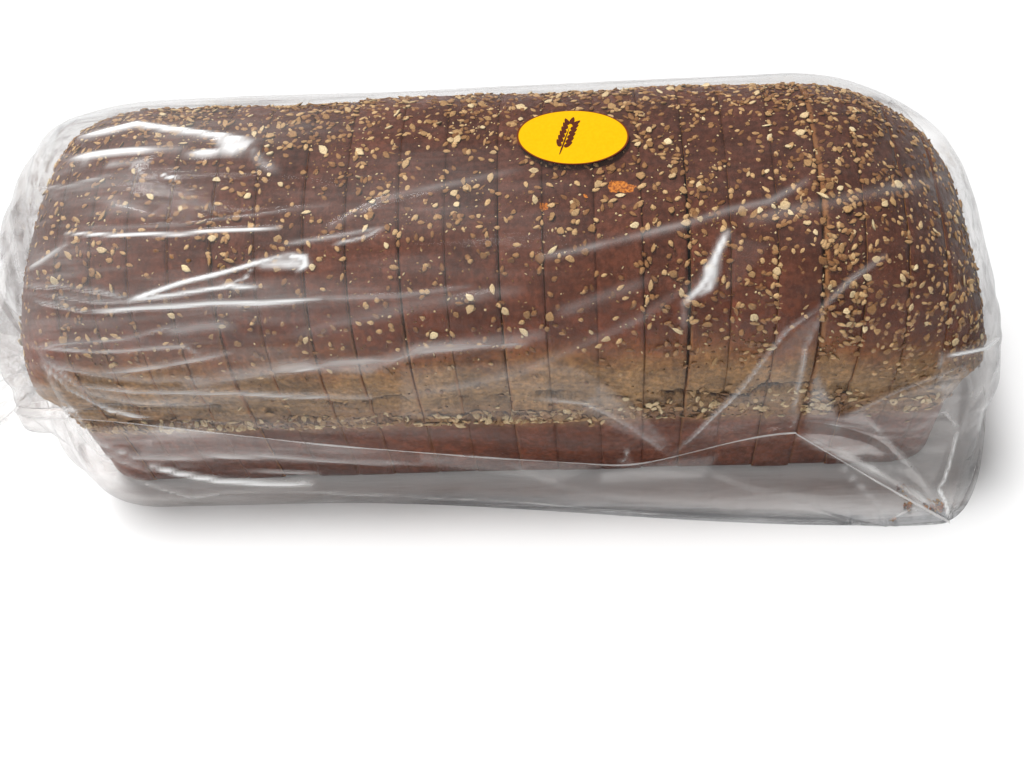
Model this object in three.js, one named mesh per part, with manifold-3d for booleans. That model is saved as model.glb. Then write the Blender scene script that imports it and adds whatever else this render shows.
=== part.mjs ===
// A sliced loaf lying in its clear plastic bread bag, in millimetres: +X runs along the loaf
// towards the bag's closed end, +Y to its back, +Z up, and the origin is the middle of its base.
import * as THREE from "three";
import { ConvexGeometry } from "three/addons/geometries/ConvexGeometry.js";
import { mergeVertices } from "three/addons/utils/BufferGeometryUtils.js";
import Module from "manifold-3d";

const { lerp, clamp, smoothstep, degToRad } = THREE.MathUtils;

// The film where it lies round the loaf. The loaf is baked in a tin, so its sides lean out a
// little up to the rim, bulge over it, and end in a high crown.
const SIDE_END_X = 168; // where the film leaves the loaf's end faces
const CROWN_HALF_WIDTH = 61.4;
const CROWN_START_HEIGHT = 76;
const HEIGHT = 141;
const CROWN_EXPONENT = 2.4; // 2 would be a true ellipse, and more is squarer
const BACK_FOOT = 58;
const BASE_START = 7; // where a section starts and ends, under the loaf
const BACK_SLACK = 3.2; // the film stands off the crown's back by this much

// The side weld, a fine ridge that sags along the front.
const WELD_OUT = 64.5;
const WELD_LOW = 27;
const WELD_LOW_X = 40;
const WELD_LEFT_RISE = 46; // its height above the lowest point at the tied end
const WELD_PEAK_X = 108;
const WELD_PEAK = 48;

// The skirt of slack film that spreads on the table below the weld.
const SKIRT_LEFT = 64;
const SKIRT_RIGHT = 80;

// The crown falls towards both ends of the loaf.
const CROWN_FALL_FROM = 58; // what lies above this height falls
const CLOSED_FALL = { start: 107, end: 192, exponent: 1.75 };
const TIED_FALL = { start: -128, end: -210, exponent: 2.6 };

// The closed end: the film turns in over the end face, towards a flat in the middle.
const CLOSED_TURN_X = 164;
const CLOSED_END_X = 190;
const CLOSED_EXPONENT = 2.8;
const CLOSED_CAP = 0.42; // the flat, as a share of the full section
const CLOSED_CENTRE = new THREE.Vector2(-6, 40);
const CLOSED_PINCH = 0.17; // the share of its width that the crown loses by this end

// The gathered end: a funnel from the loaf's end face to a tight neck, and the tail past it.
const FUNNEL_TURN_X = -154;
const FUNNEL_EXPONENT = 6;
const FRONT_GATHER_EXPONENT = 2;
const NECK = new THREE.Vector3(-200, -27, 52);
const NECK_RADIUS = 10;
const NECK_LENGTH = 6;
const MOUTH = new THREE.Vector3(-262, 4, 22);
const MOUTH_HALF_WIDTH = 47;
const MOUTH_HALF_THICKNESS = 4.5;
const MOUTH_WAVE = 4.5;
const MOUTH_TILT = degToRad(20);
const PLEATS = 9;
const PLEAT_DEPTH = 2.4;

// Long shallow folds, which climb from the neck over the front of the loaf.
const FOLD_DEPTH = 1.3;
const FOLD_COUNT = 11;

// The oval label on top of the film.
const LABEL_CENTRE = new THREE.Vector2(26.8, 4.3);
const LABEL_HALF_LENGTH = 20;
const LABEL_HALF_WIDTH = 13.5;
const LABEL_TURN = degToRad(-6);
const LABEL_GAP = 0.35;
const LABEL_THICKNESS = 0.4;

// The height of the weld at a place along the loaf.
function weldHeight(x) {
  if (x < WELD_LOW_X) {
    const left = (WELD_LOW_X - x) / (WELD_LOW_X + SIDE_END_X);
    return WELD_LOW + WELD_LEFT_RISE * Math.pow(left, 1.15);
  }
  if (x < WELD_PEAK_X) return lerp(WELD_LOW, WELD_PEAK, smoothstep(x, WELD_LOW_X, WELD_PEAK_X));
  return lerp(WELD_PEAK, 10, smoothstep(x, WELD_PEAK_X, CLOSED_END_X));
}

function skirtReach(x) {
  return lerp(SKIRT_LEFT, SKIRT_RIGHT, smoothstep(x, -90, 150));
}

// Each stretch of a section has its own number of sides. A section starts under the loaf,
// runs out to the skirt, up the front, over the crown, down the back and in again.
const STRETCHES = [
  { sides: 5, point: (x, t) => [lerp(BASE_START, -skirtReach(x), t), 0] },
  { sides: 6, point: skirtPoint },
  { sides: 7, point: frontWallPoint },
  { sides: 13, point: (x, t) => crownPoint(Math.PI - (t * Math.PI) / 2) },
  { sides: 13, point: (x, t) => crownPoint(((1 - t) * Math.PI) / 2) },
  { sides: 11, point: backWallPoint },
  { sides: 7, point: (x, t) => [lerp(BACK_FOOT, BASE_START, t), 0] },
];
const AROUND = STRETCHES.reduce((sum, stretch) => sum + stretch.sides, 0);

// The skirt rises from its edge on the table in a hollow curve.
function skirtPoint(x, t) {
  const out = lerp(skirtReach(x), WELD_OUT, Math.pow(t, 0.55));
  return [-out, weldHeight(x) * Math.pow(t, 1.5)];
}

function frontWallPoint(x, t) {
  const behindWeld = WELD_OUT - 3.2;
  const out = t === 0 ? WELD_OUT : lerp(behindWeld, CROWN_HALF_WIDTH, t);
  return [-out, lerp(weldHeight(x), CROWN_START_HEIGHT, t)];
}

function crownPoint(angle) {
  const power = 2 / CROWN_EXPONENT;
  const across = Math.sign(Math.cos(angle)) * Math.pow(Math.abs(Math.cos(angle)), power);
  const up = Math.pow(Math.abs(Math.sin(angle)), power);
  const slack = BACK_SLACK * Math.max(0, across) * up;
  return [
    CROWN_HALF_WIDTH * across + slack,
    CROWN_START_HEIGHT + (HEIGHT - CROWN_START_HEIGHT) * up + slack,
  ];
}

// The share of a full size that is left at t, from 0 where the rounding starts to 1 at its end.
function roundedShare(t, exponent) {
  return Math.pow(1 - Math.pow(clamp(t, 0, 1), exponent), 1 / exponent);
}

// A height on the film, lowered by the crown's fall towards the ends.
function fallenHeight(x, z) {
  if (z < CROWN_FALL_FROM) return z;
  const fall = x > 0 ? CLOSED_FALL : TIED_FALL;
  const share = roundedShare((x - fall.start) / (fall.end - fall.start), fall.exponent);
  return lerp(CROWN_FALL_FROM, z, share);
}

function backWallPoint(x, t) {
  return [lerp(CROWN_HALF_WIDTH, BACK_FOOT, t), CROWN_START_HEIGHT * (1 - t)];
}

// The crown also narrows towards the closed end.
function pinchShare(x, level) {
  return 1 - CLOSED_PINCH * smoothstep(x, 120, CLOSED_END_X) * smoothstep(level, 50, 110);
}

// The shallow folds, as a push out of the film. They fade out at the label and on the base.
function foldPush(x, v, z) {
  const climb = (x + 200) / 380;
  const wave = Math.sin(2 * Math.PI * (FOLD_COUNT * v + 1.6 * climb + 0.35 * Math.sin(4 * climb)));
  const awayFromLabel = smoothstep(Math.abs(x - LABEL_CENTRE.x), 22, 60);
  const onTop = smoothstep(z, 120, 134);
  return FOLD_DEPTH * wave * smoothstep(z, 4, 26) * lerp(1, awayFromLabel, onTop);
}

// One section of the film round the loaf: its points as seen along X, each with a heading from
// the loaf's core, which also places it on the round neck.
function bodySection(x) {
  const points = [];
  for (const stretch of STRETCHES) {
    for (let i = 0; i < stretch.sides; i++) {
      const [reach, level] = stretch.point(x, i / stretch.sides);
      const heading = Math.atan2(level - CROWN_FALL_FROM, reach);
      const y = reach * pinchShare(x, level);
      const z = fallenHeight(x, level);
      const push = foldPush(x, points.length / AROUND, z);
      points.push({ y: y + push * Math.cos(heading), z: z + push * Math.sin(heading), heading });
    }
  }
  return points;
}

function neckPoint(heading) {
  const radius = NECK_RADIUS + PLEAT_DEPTH * Math.sin(PLEATS * heading);
  return [NECK.y + radius * Math.cos(heading), NECK.z + radius * Math.sin(heading)];
}

// The tail's open mouth, pressed nearly flat and wavy, leaning up to the back.
function mouthPoint(heading) {
  const across = MOUTH_HALF_WIDTH * Math.cos(heading);
  const wave = MOUTH_WAVE * Math.sin(2.3 * Math.PI * Math.cos(heading) + 0.6);
  const up = MOUTH_HALF_THICKNESS * Math.sin(heading) + wave;
  const [cos, sin] = [Math.cos(MOUTH_TILT), Math.sin(MOUTH_TILT)];
  return [MOUTH.y + across * cos - up * sin, MOUTH.z + across * sin + up * cos];
}

function tailRings() {
  const rings = [];
  const steps = 8;
  for (let i = 0; i <= steps; i++) {
    const t = i / steps;
    const spread = Math.pow(1 - t, 0.8);
    const x = lerp(MOUTH.x, NECK.x, t);
    const drop = 10 * Math.sin(Math.PI * t); // the tail hangs a little between neck and mouth
    rings.push(
      bodySection(-SIDE_END_X).map(({ heading }) => {
        const [ny, nz] = neckPoint(heading);
        const [my, mz] = mouthPoint(heading);
        return new THREE.Vector3(x, lerp(ny, my, spread), lerp(nz, mz, spread) - drop * 0.3);
      }),
    );
  }
  return rings;
}

function funnelRings() {
  const rings = [];
  const steps = 12;
  const neckEnd = NECK.x + NECK_LENGTH;
  for (let i = 0; i < steps; i++) {
    const t = Math.cos((i / steps) * (Math.PI / 2)); // closer rings where the funnel is steep
    const share = roundedShare(t, FUNNEL_EXPONENT);
    const x = lerp(FUNNEL_TURN_X, neckEnd, t);
    const pleat = PLEAT_DEPTH * smoothstep(t, 0.2, 0.95);
    rings.push(
      bodySection(x).map(({ y, z, heading }) => {
        const [ny, nz] = neckPoint(heading);
        const wave = z > 1 ? pleat * Math.sin(PLEATS * heading) * share : 0;
        // low at the front the film is drawn to the neck in a flatter slant
        const atLowFront = (1 - smoothstep(z, 20, 80)) * smoothstep(-y, 0, 30);
        const drawnIn = lerp(share, roundedShare(t, FRONT_GATHER_EXPONENT), atLowFront);
        return new THREE.Vector3(
          x,
          lerp(ny, y, drawnIn) + wave * Math.cos(heading),
          lerp(nz, z, share) + wave * Math.sin(heading),
        );
      }),
    );
  }
  return rings;
}

function bodyRings() {
  const rings = [];
  const steps = 17;
  for (let i = 0; i <= steps; i++) {
    const x = lerp(FUNNEL_TURN_X, CLOSED_TURN_X, i / steps);
    rings.push(bodySection(x).map(({ y, z }) => new THREE.Vector3(x, y, z)));
  }
  return rings;
}

function closedEndRings() {
  const rings = [];
  const steps = 6;
  const last = Math.pow(1 - Math.pow(CLOSED_CAP, CLOSED_EXPONENT), 1 / CLOSED_EXPONENT);
  const { x: centreY, y: centreZ } = CLOSED_CENTRE;
  for (let i = 1; i <= steps; i++) {
    const t = last * Math.sin(((i / steps) * Math.PI) / 2);
    const share = roundedShare(t, CLOSED_EXPONENT);
    const x = lerp(CLOSED_TURN_X, CLOSED_END_X, t / last);
    rings.push(
      bodySection(x).map(
        ({ y, z }) => new THREE.Vector3(x, lerp(centreY, y, share), lerp(centreZ, z, share)),
      ),
    );
  }
  return rings;
}

// Rings of equal length joined into one closed skin, with a fan of triangles over each end.
function skinOver(rings) {
  const positions = [];
  const indices = [];
  for (const ring of rings) for (const point of ring) positions.push(...point.toArray());
  const count = rings[0].length;
  for (let r = 0; r + 1 < rings.length; r++) {
    for (let i = 0; i < count; i++) {
      const a = r * count + i;
      const b = r * count + ((i + 1) % count);
      indices.push(a, a + count, b, b, a + count, b + count);
    }
  }
  const capEnd = (ring, first, flip) => {
    const middle = new THREE.Vector3();
    for (const point of ring) middle.addScaledVector(point, 1 / ring.length);
    positions.push(...middle.toArray());
    const centre = positions.length / 3 - 1;
    for (let i = 0; i < count; i++) {
      const a = first + i;
      const b = first + ((i + 1) % count);
      if (flip) indices.push(centre, b, a);
      else indices.push(centre, a, b);
    }
  };
  capEnd(rings[0], 0, false);
  capEnd(rings.at(-1), (rings.length - 1) * count, true);
  const skin = new THREE.BufferGeometry();
  skin.setAttribute("position", new THREE.Float32BufferAttribute(positions, 3));
  skin.setIndex(indices);
  return skin;
}

// The two corners of the closed end stand out as flattened ears.
function frontEar() {
  return new ConvexGeometry([
    new THREE.Vector3(WELD_PEAK_X, -60, WELD_PEAK),
    new THREE.Vector3(WELD_PEAK_X, -72, 0),
    new THREE.Vector3(WELD_PEAK_X, -40, 0),
    new THREE.Vector3(148, -81, 0),
    new THREE.Vector3(172, -79, 0),
    new THREE.Vector3(171.5, -78.5, 3),
    new THREE.Vector3(190, -44, 0),
    new THREE.Vector3(190, -30, 40),
    new THREE.Vector3(184, -40, 60),
    new THREE.Vector3(150, -40, 66),
  ]);
}

function backEar() {
  return new ConvexGeometry([
    new THREE.Vector3(150, 52, 98),
    new THREE.Vector3(156, 68.5, 92),
    new THREE.Vector3(170.5, 61.5, 80),
    new THREE.Vector3(178, 34, 76),
    new THREE.Vector3(178, 40, 40),
    new THREE.Vector3(150, 57, 30),
    new THREE.Vector3(148, 40, 60),
  ]);
}

const wasm = await Module();
wasm.setup();

function solidOf(geometry) {
  const bare = geometry.clone();
  bare.deleteAttribute("normal");
  bare.deleteAttribute("uv");
  const merged = mergeVertices(bare, 1e-4);
  return new wasm.Manifold(
    new wasm.Mesh({
      numProp: 3,
      vertProperties: new Float32Array(merged.attributes.position.array),
      triVerts: new Uint32Array(merged.index.array),
    }),
  );
}

function geometryOf(solid) {
  const mesh = solid.getMesh();
  const geometry = new THREE.BufferGeometry();
  geometry.setAttribute("position", new THREE.BufferAttribute(mesh.vertProperties, 3));
  geometry.setIndex(new THREE.BufferAttribute(mesh.triVerts, 1));
  return geometry;
}

function bagGeometry() {
  const rings = [...tailRings(), ...funnelRings(), ...bodyRings(), ...closedEndRings()];
  let bag = solidOf(skinOver(rings));
  for (const ear of [frontEar(), backEar()]) bag = bag.add(solidOf(ear));
  return geometryOf(bag);
}

// The height of the film's crown above the table at a place near the label.
function crownHeight(y) {
  const across = clamp(Math.abs(y) / CROWN_HALF_WIDTH, 0, 1);
  const up = Math.pow(1 - Math.pow(across, CROWN_EXPONENT), 1 / CROWN_EXPONENT);
  const slack = BACK_SLACK * Math.max(0, y / CROWN_HALF_WIDTH) * up;
  return CROWN_START_HEIGHT + (HEIGHT - CROWN_START_HEIGHT) * up + slack;
}

// A thin oval sheet that follows the crown, as two layers of rings joined at the edge.
function labelGeometry() {
  const rings = 6;
  const sides = 36;
  const positions = [];
  const indices = [];
  const layerSize = 1 + rings * sides;
  for (const lift of [LABEL_GAP, LABEL_GAP + LABEL_THICKNESS]) {
    for (let r = 0; r <= rings; r++) {
      for (let i = 0; i < (r === 0 ? 1 : sides); i++) {
        const angle = (i / sides) * 2 * Math.PI;
        const spot = new THREE.Vector2(
          LABEL_HALF_LENGTH * (r / rings) * Math.cos(angle),
          LABEL_HALF_WIDTH * (r / rings) * Math.sin(angle),
        );
        spot.rotateAround(new THREE.Vector2(), LABEL_TURN).add(LABEL_CENTRE);
        positions.push(spot.x, spot.y, crownHeight(spot.y) + lift);
      }
    }
  }
  const at = (layer, r, i) => layer * layerSize + (r === 0 ? 0 : 1 + (r - 1) * sides + (i % sides));
  for (let i = 0; i < sides; i++) {
    indices.push(at(0, 0, 0), at(0, 1, i + 1), at(0, 1, i));
    indices.push(at(1, 0, 0), at(1, 1, i), at(1, 1, i + 1));
    for (let r = 1; r < rings; r++) {
      indices.push(at(0, r, i), at(0, r, i + 1), at(0, r + 1, i));
      indices.push(at(0, r, i + 1), at(0, r + 1, i + 1), at(0, r + 1, i));
      indices.push(at(1, r, i), at(1, r + 1, i), at(1, r, i + 1));
      indices.push(at(1, r, i + 1), at(1, r + 1, i), at(1, r + 1, i + 1));
    }
    indices.push(at(0, rings, i), at(0, rings, i + 1), at(1, rings, i));
    indices.push(at(0, rings, i + 1), at(1, rings, i + 1), at(1, rings, i));
  }
  const label = new THREE.BufferGeometry();
  label.setAttribute("position", new THREE.Float32BufferAttribute(positions, 3));
  label.setIndex(indices);
  return label;
}

function named(name, geometry, material) {
  const mesh = new THREE.Mesh(geometry, new THREE.MeshStandardMaterial(material));
  mesh.name = name;
  return mesh;
}

const pack = new THREE.Group();
pack.add(named("bag", bagGeometry(), { color: 0x6b4636, roughness: 0.25, metalness: 0 }));
pack.add(named("label", labelGeometry(), { color: 0xffc300, roughness: 0.45, metalness: 0 }));

export default pack;
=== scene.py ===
"""A sliced tin loaf, crusted with sesame and oats, lying in its clear bread bag."""
import itertools
import math

import bmesh
import bpy
import numpy as np
from mathutils import Matrix, Vector


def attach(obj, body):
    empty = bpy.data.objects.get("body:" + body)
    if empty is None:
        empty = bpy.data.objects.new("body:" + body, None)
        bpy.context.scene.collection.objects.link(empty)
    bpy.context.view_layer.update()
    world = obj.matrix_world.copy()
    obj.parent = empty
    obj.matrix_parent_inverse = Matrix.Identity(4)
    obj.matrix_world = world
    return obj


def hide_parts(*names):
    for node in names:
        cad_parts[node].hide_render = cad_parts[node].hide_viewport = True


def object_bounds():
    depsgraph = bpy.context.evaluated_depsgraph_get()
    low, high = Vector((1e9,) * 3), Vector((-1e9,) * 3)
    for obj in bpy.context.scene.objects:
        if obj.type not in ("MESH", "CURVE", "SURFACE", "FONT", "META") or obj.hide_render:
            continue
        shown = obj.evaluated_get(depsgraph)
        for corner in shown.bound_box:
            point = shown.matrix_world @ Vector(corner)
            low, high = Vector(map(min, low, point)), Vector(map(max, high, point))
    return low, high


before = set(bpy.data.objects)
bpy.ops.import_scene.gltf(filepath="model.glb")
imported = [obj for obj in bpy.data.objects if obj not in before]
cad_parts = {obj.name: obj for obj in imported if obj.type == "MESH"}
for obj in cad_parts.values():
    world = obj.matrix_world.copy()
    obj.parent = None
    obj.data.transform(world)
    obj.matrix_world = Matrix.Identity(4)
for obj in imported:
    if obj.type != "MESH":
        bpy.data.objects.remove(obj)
cad_low, cad_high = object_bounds()
MM = 0.001  # shapes are worked out in millimetres, and meshes are made in metres

# The view: one camera, in front of the bag and looking down on it. Its place, turn and focal
# length were solved from the slice cuts, whose spacing and direction are known.
CAMERA_PLACE = np.array([34.2, -318.4, 461.6])
CAMERA_TURN = math.radians(7.2)
CAMERA_ELEVATION = math.radians(55.68)
CAMERA_ROLL = math.radians(-7.63)
FOCAL_PIXELS = 1252.27
IMAGE_WIDTH, IMAGE_HEIGHT = 1024, 768
SENSOR_WIDTH = 36.0

camera_turn = (
    Matrix.Rotation(CAMERA_TURN, 3, "Z")
    @ Matrix.Rotation(math.pi / 2 - CAMERA_ELEVATION, 3, "X")
    @ Matrix.Rotation(CAMERA_ROLL, 3, "Z")
)
camera_data = bpy.data.cameras.new("camera")
camera_data.sensor_width = SENSOR_WIDTH
camera_data.lens = FOCAL_PIXELS * SENSOR_WIDTH / IMAGE_WIDTH
camera = bpy.data.objects.new("camera", camera_data)
camera.location = Vector(CAMERA_PLACE) * MM
camera.rotation_euler = camera_turn.to_euler()
bpy.context.scene.collection.objects.link(camera)
bpy.context.scene.camera = camera
bpy.context.scene.view_settings.view_transform = "Standard"
VIEW_RIGHT, VIEW_UP, VIEW_BACK = np.array(camera_turn).T


def pixels_of(points):
    """Where points (n, 3), in millimetres, fall in the picture."""
    away = points - CAMERA_PLACE
    depth = -(away @ VIEW_BACK)
    across = IMAGE_WIDTH / 2 + FOCAL_PIXELS * (away @ VIEW_RIGHT) / depth
    down = IMAGE_HEIGHT / 2 - FOCAL_PIXELS * (away @ VIEW_UP) / depth
    return np.stack([across, down], 1)


def place_of(pixel, level):
    """The point at a height, in millimetres, that falls on a pixel of the picture."""
    across = (pixel[0] - IMAGE_WIDTH / 2) / FOCAL_PIXELS
    down = (pixel[1] - IMAGE_HEIGHT / 2) / FOCAL_PIXELS
    ray = across * VIEW_RIGHT - down * VIEW_UP - VIEW_BACK
    return CAMERA_PLACE + ray * (level - CAMERA_PLACE[2]) / ray[2]


# The table and the light: a plain white table under a dim white sky. A softbox nearly overhead
# lights everything, a weak one at the left fills the shadows, and two small ones put the glints
# on the film.
TABLE_SIZE, TABLE_DROP = 8.0, 0.0004
TABLE_WHITE = (0.93, 0.93, 0.93, 1)
SKY_STRENGTH = 0.24
# name, place, size, power, and whether its reflection shows in glossy film
SOFTBOXES = [
    ("softbox_overhead", (-0.72, 0.46, 2.94), 0.80, 88.0, False),
    ("softbox_left", (-0.45, -0.60, 0.60), 0.35, 1.2, False),
    ("softbox_behind", (-0.50, 0.56, 1.28), 0.22, 0.9, True),
    ("softbox_front", (-0.10, -0.40, 1.10), 0.13, 0.2, True),
]


def started_from(primitive, name, **settings):
    """The start of a piece: a new primitive, with nothing else selected."""
    bpy.ops.object.select_all(action="DESELECT")
    primitive(**settings)
    piece = bpy.context.object
    piece.name = name
    return piece


plane = bpy.ops.mesh.primitive_plane_add
table = started_from(plane, "table", size=TABLE_SIZE, location=(0, 0, -TABLE_DROP))
table_white = bpy.data.materials.new("table_white")
table_white.use_nodes = True
table_face = table_white.node_tree.nodes["Principled BSDF"].inputs
table_face["Base Color"].default_value = TABLE_WHITE
table_face["Roughness"].default_value = 0.9
table_face["Specular IOR Level"].default_value = 0.1
table.data.materials.append(table_white)

sky = bpy.data.worlds.new("sky")
sky.use_nodes = True
sky.node_tree.nodes["Background"].inputs["Color"].default_value = (1, 1, 1, 1)
sky.node_tree.nodes["Background"].inputs["Strength"].default_value = SKY_STRENGTH
bpy.context.scene.world = sky

for light_name, light_place, light_size, light_power, in_film in SOFTBOXES:
    light_data = bpy.data.lights.new(light_name, "AREA")
    light_data.size = light_size
    light_data.energy = light_power
    light = bpy.data.objects.new(light_name, light_data)
    light.location = light_place
    light.rotation_euler = Vector(light_place).to_track_quat("Z", "Y").to_euler()
    light.visible_glossy = in_film
    bpy.context.scene.collection.objects.link(light)


# The loaf: wholegrain bread baked in a long tin. The sides lean out to the tin's rim, tear open
# in a rough band above it, and rise to a high dark dome that falls away at both ends.
LOAF_LEFT, LOAF_RIGHT = -180.5, 171.0  # the tin's ends, which the crown overhangs
LEFT_OVERHANG, RIGHT_OVERHANG, OVERHANG_REACH = 9.0, 9.0, 34.0
LOAF_LIFT = 0.7  # the film's own thickness under the base, with a crumb or two
FOOT_HALF, FOOT_RADIUS = 53.2, 5.0
RIM_HALF, RIM_LEVEL = 56.2, 48.0
SHOULDER_HALF, SHOULDER_LEVEL = 59.4, 77.0
LOAF_TOP, DOME_EXPONENT = 138.8, 2.45
CORNER_RADIUS, RIGHT_PINCH = 18.0, 0.15
RIGHT_FALL = (107.0, 181.0, 1.85)  # where the crown starts to fall, where it would end, exponent
LEFT_FALL = (-128.0, -189.5, 2.6)
FALL_FROM, BACK_SWELL = 58.0, 0.8
CRACK_LEVEL, CRACK_WIDTH, CRACK_DEPTH = 66.5, 2.0, 3.6
RIM_CRACK_LEVEL, RIM_CRACK_WIDTH = 54.0, 1.3
FACE_MIDDLE = 46.0  # the level about which the end faces are drawn in
# middle in pixels of the picture, and half width and half height in pixels
TORN_PATCHES = [((622, 186), 15.0, 6.5), ((545, 205), 5.5, 3.0), ((585, 194), 4.0, 2.5)]


def rounded_share(t, exponent):
    """The share of a full size left at t, from 0 where a rounding starts to 1 at its end."""
    return (1 - np.clip(t, 0, 1) ** exponent) ** (1 / exponent)


def fall_share(x, fall):
    """How much of its height a crown keeps at x, on its way down to an end."""
    start, stop, exponent = fall
    return rounded_share((x - start) / (stop - start), exponent)


def smooth(t, low, high):
    """0 below low, 1 above high, and a smooth step between them."""
    share = np.clip((t - low) / (high - low), 0, 1)
    return share * share * (3 - 2 * share)


def band(t, rise_from, full_from, full_to, fall_to):
    """1 in a band, with a smooth step down on either side of it."""
    return smooth(t, rise_from, full_from) * (1 - smooth(t, full_to, fall_to))


def bell(t, middle, width):
    """1 in the middle, and less the farther t is from it."""
    return np.exp(-(((t - middle) / width) ** 2))


def grain(points, size, seed):
    """Smooth random relief from -1 to 1 at points (n, 3), with lumps of about the given size."""
    scaled = points / size + seed * 17.31
    cell = np.floor(scaled).astype(np.int64)
    part = scaled - cell
    part = part * part * (3 - 2 * part)
    total = np.zeros(len(points))
    for corner in itertools.product((0, 1), repeat=3):
        x, y, z = (cell + corner).T
        mixed = (x * 374761393 + y * 668265263 + z * 2147483647 + seed * 1274126177) & 0x7FFFFFFF
        mixed = ((mixed ^ (mixed >> 13)) * 1274126177) & 0x7FFFFFFF
        value = ((mixed ^ (mixed >> 16)) & 0xFFFF) / 32767.5 - 1
        weight = np.prod(np.where(corner, part, 1 - part), axis=1)
        total += weight * value
    return total


def grain_along(x, size, seed):
    """The same relief along a line."""
    return grain(np.stack([x, 0 * x, 0 * x], 1), size, seed)


def wander(points, size, seed):
    """The same relief twice over, to shift pixels of the picture both ways."""
    return np.stack([grain(points, size, seed), grain(points, size, seed + 1)], 1)


def loaf_outline(climb):
    """Half-width and level of a section: climb goes from 0, mid base, to 1 at the top."""
    flat_end, foot_end, rim_at, shoulder_at = 0.19, 0.225, 0.42, 0.56
    turn = np.clip((climb - flat_end) / (foot_end - flat_end), 0, 1) * math.pi / 2
    reach = (FOOT_HALF - FOOT_RADIUS) * np.clip(climb / flat_end, 0, 1) + FOOT_RADIUS * np.sin(turn)
    side = np.interp(climb, [foot_end, rim_at, shoulder_at], [FOOT_RADIUS, RIM_LEVEL, SHOULDER_LEVEL])
    level = np.where(climb < foot_end, FOOT_RADIUS * (1 - np.cos(turn)), side)
    lean = np.interp(
        level,
        [FOOT_RADIUS, RIM_LEVEL, RIM_LEVEL + 2.5, SHOULDER_LEVEL],
        [FOOT_HALF, RIM_HALF, RIM_HALF + 1.0, SHOULDER_HALF],
    )
    reach = np.where(climb < foot_end, reach, lean)
    rise = np.clip((climb - shoulder_at) / (1 - shoulder_at), 0, 1) * math.pi / 2
    on_dome = climb > shoulder_at
    reach = np.where(on_dome, SHOULDER_HALF * np.cos(rise) ** (2 / DOME_EXPONENT), reach)
    dome = SHOULDER_LEVEL + (LOAF_TOP - SHOULDER_LEVEL) * np.sin(rise) ** (2 / DOME_EXPONENT)
    return reach, np.where(on_dome, dome, level)


def torn_share(points):
    """How far the crust is torn away, from 0 to 1, in the small patches on the dome."""
    share = np.zeros(len(points))
    spots = pixels_of(points) + 3.0 * wander(points, 3.0, 5)
    for (across, down), half_width, half_height in TORN_PATCHES:
        reach = np.hypot((spots[:, 0] - across) / half_width, (spots[:, 1] - down) / half_height)
        share = np.maximum(share, 1 - smooth(reach, 0.75, 1.1))
    return share * (points[:, 1] < 30) * (points[:, 2] > 100)


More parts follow.
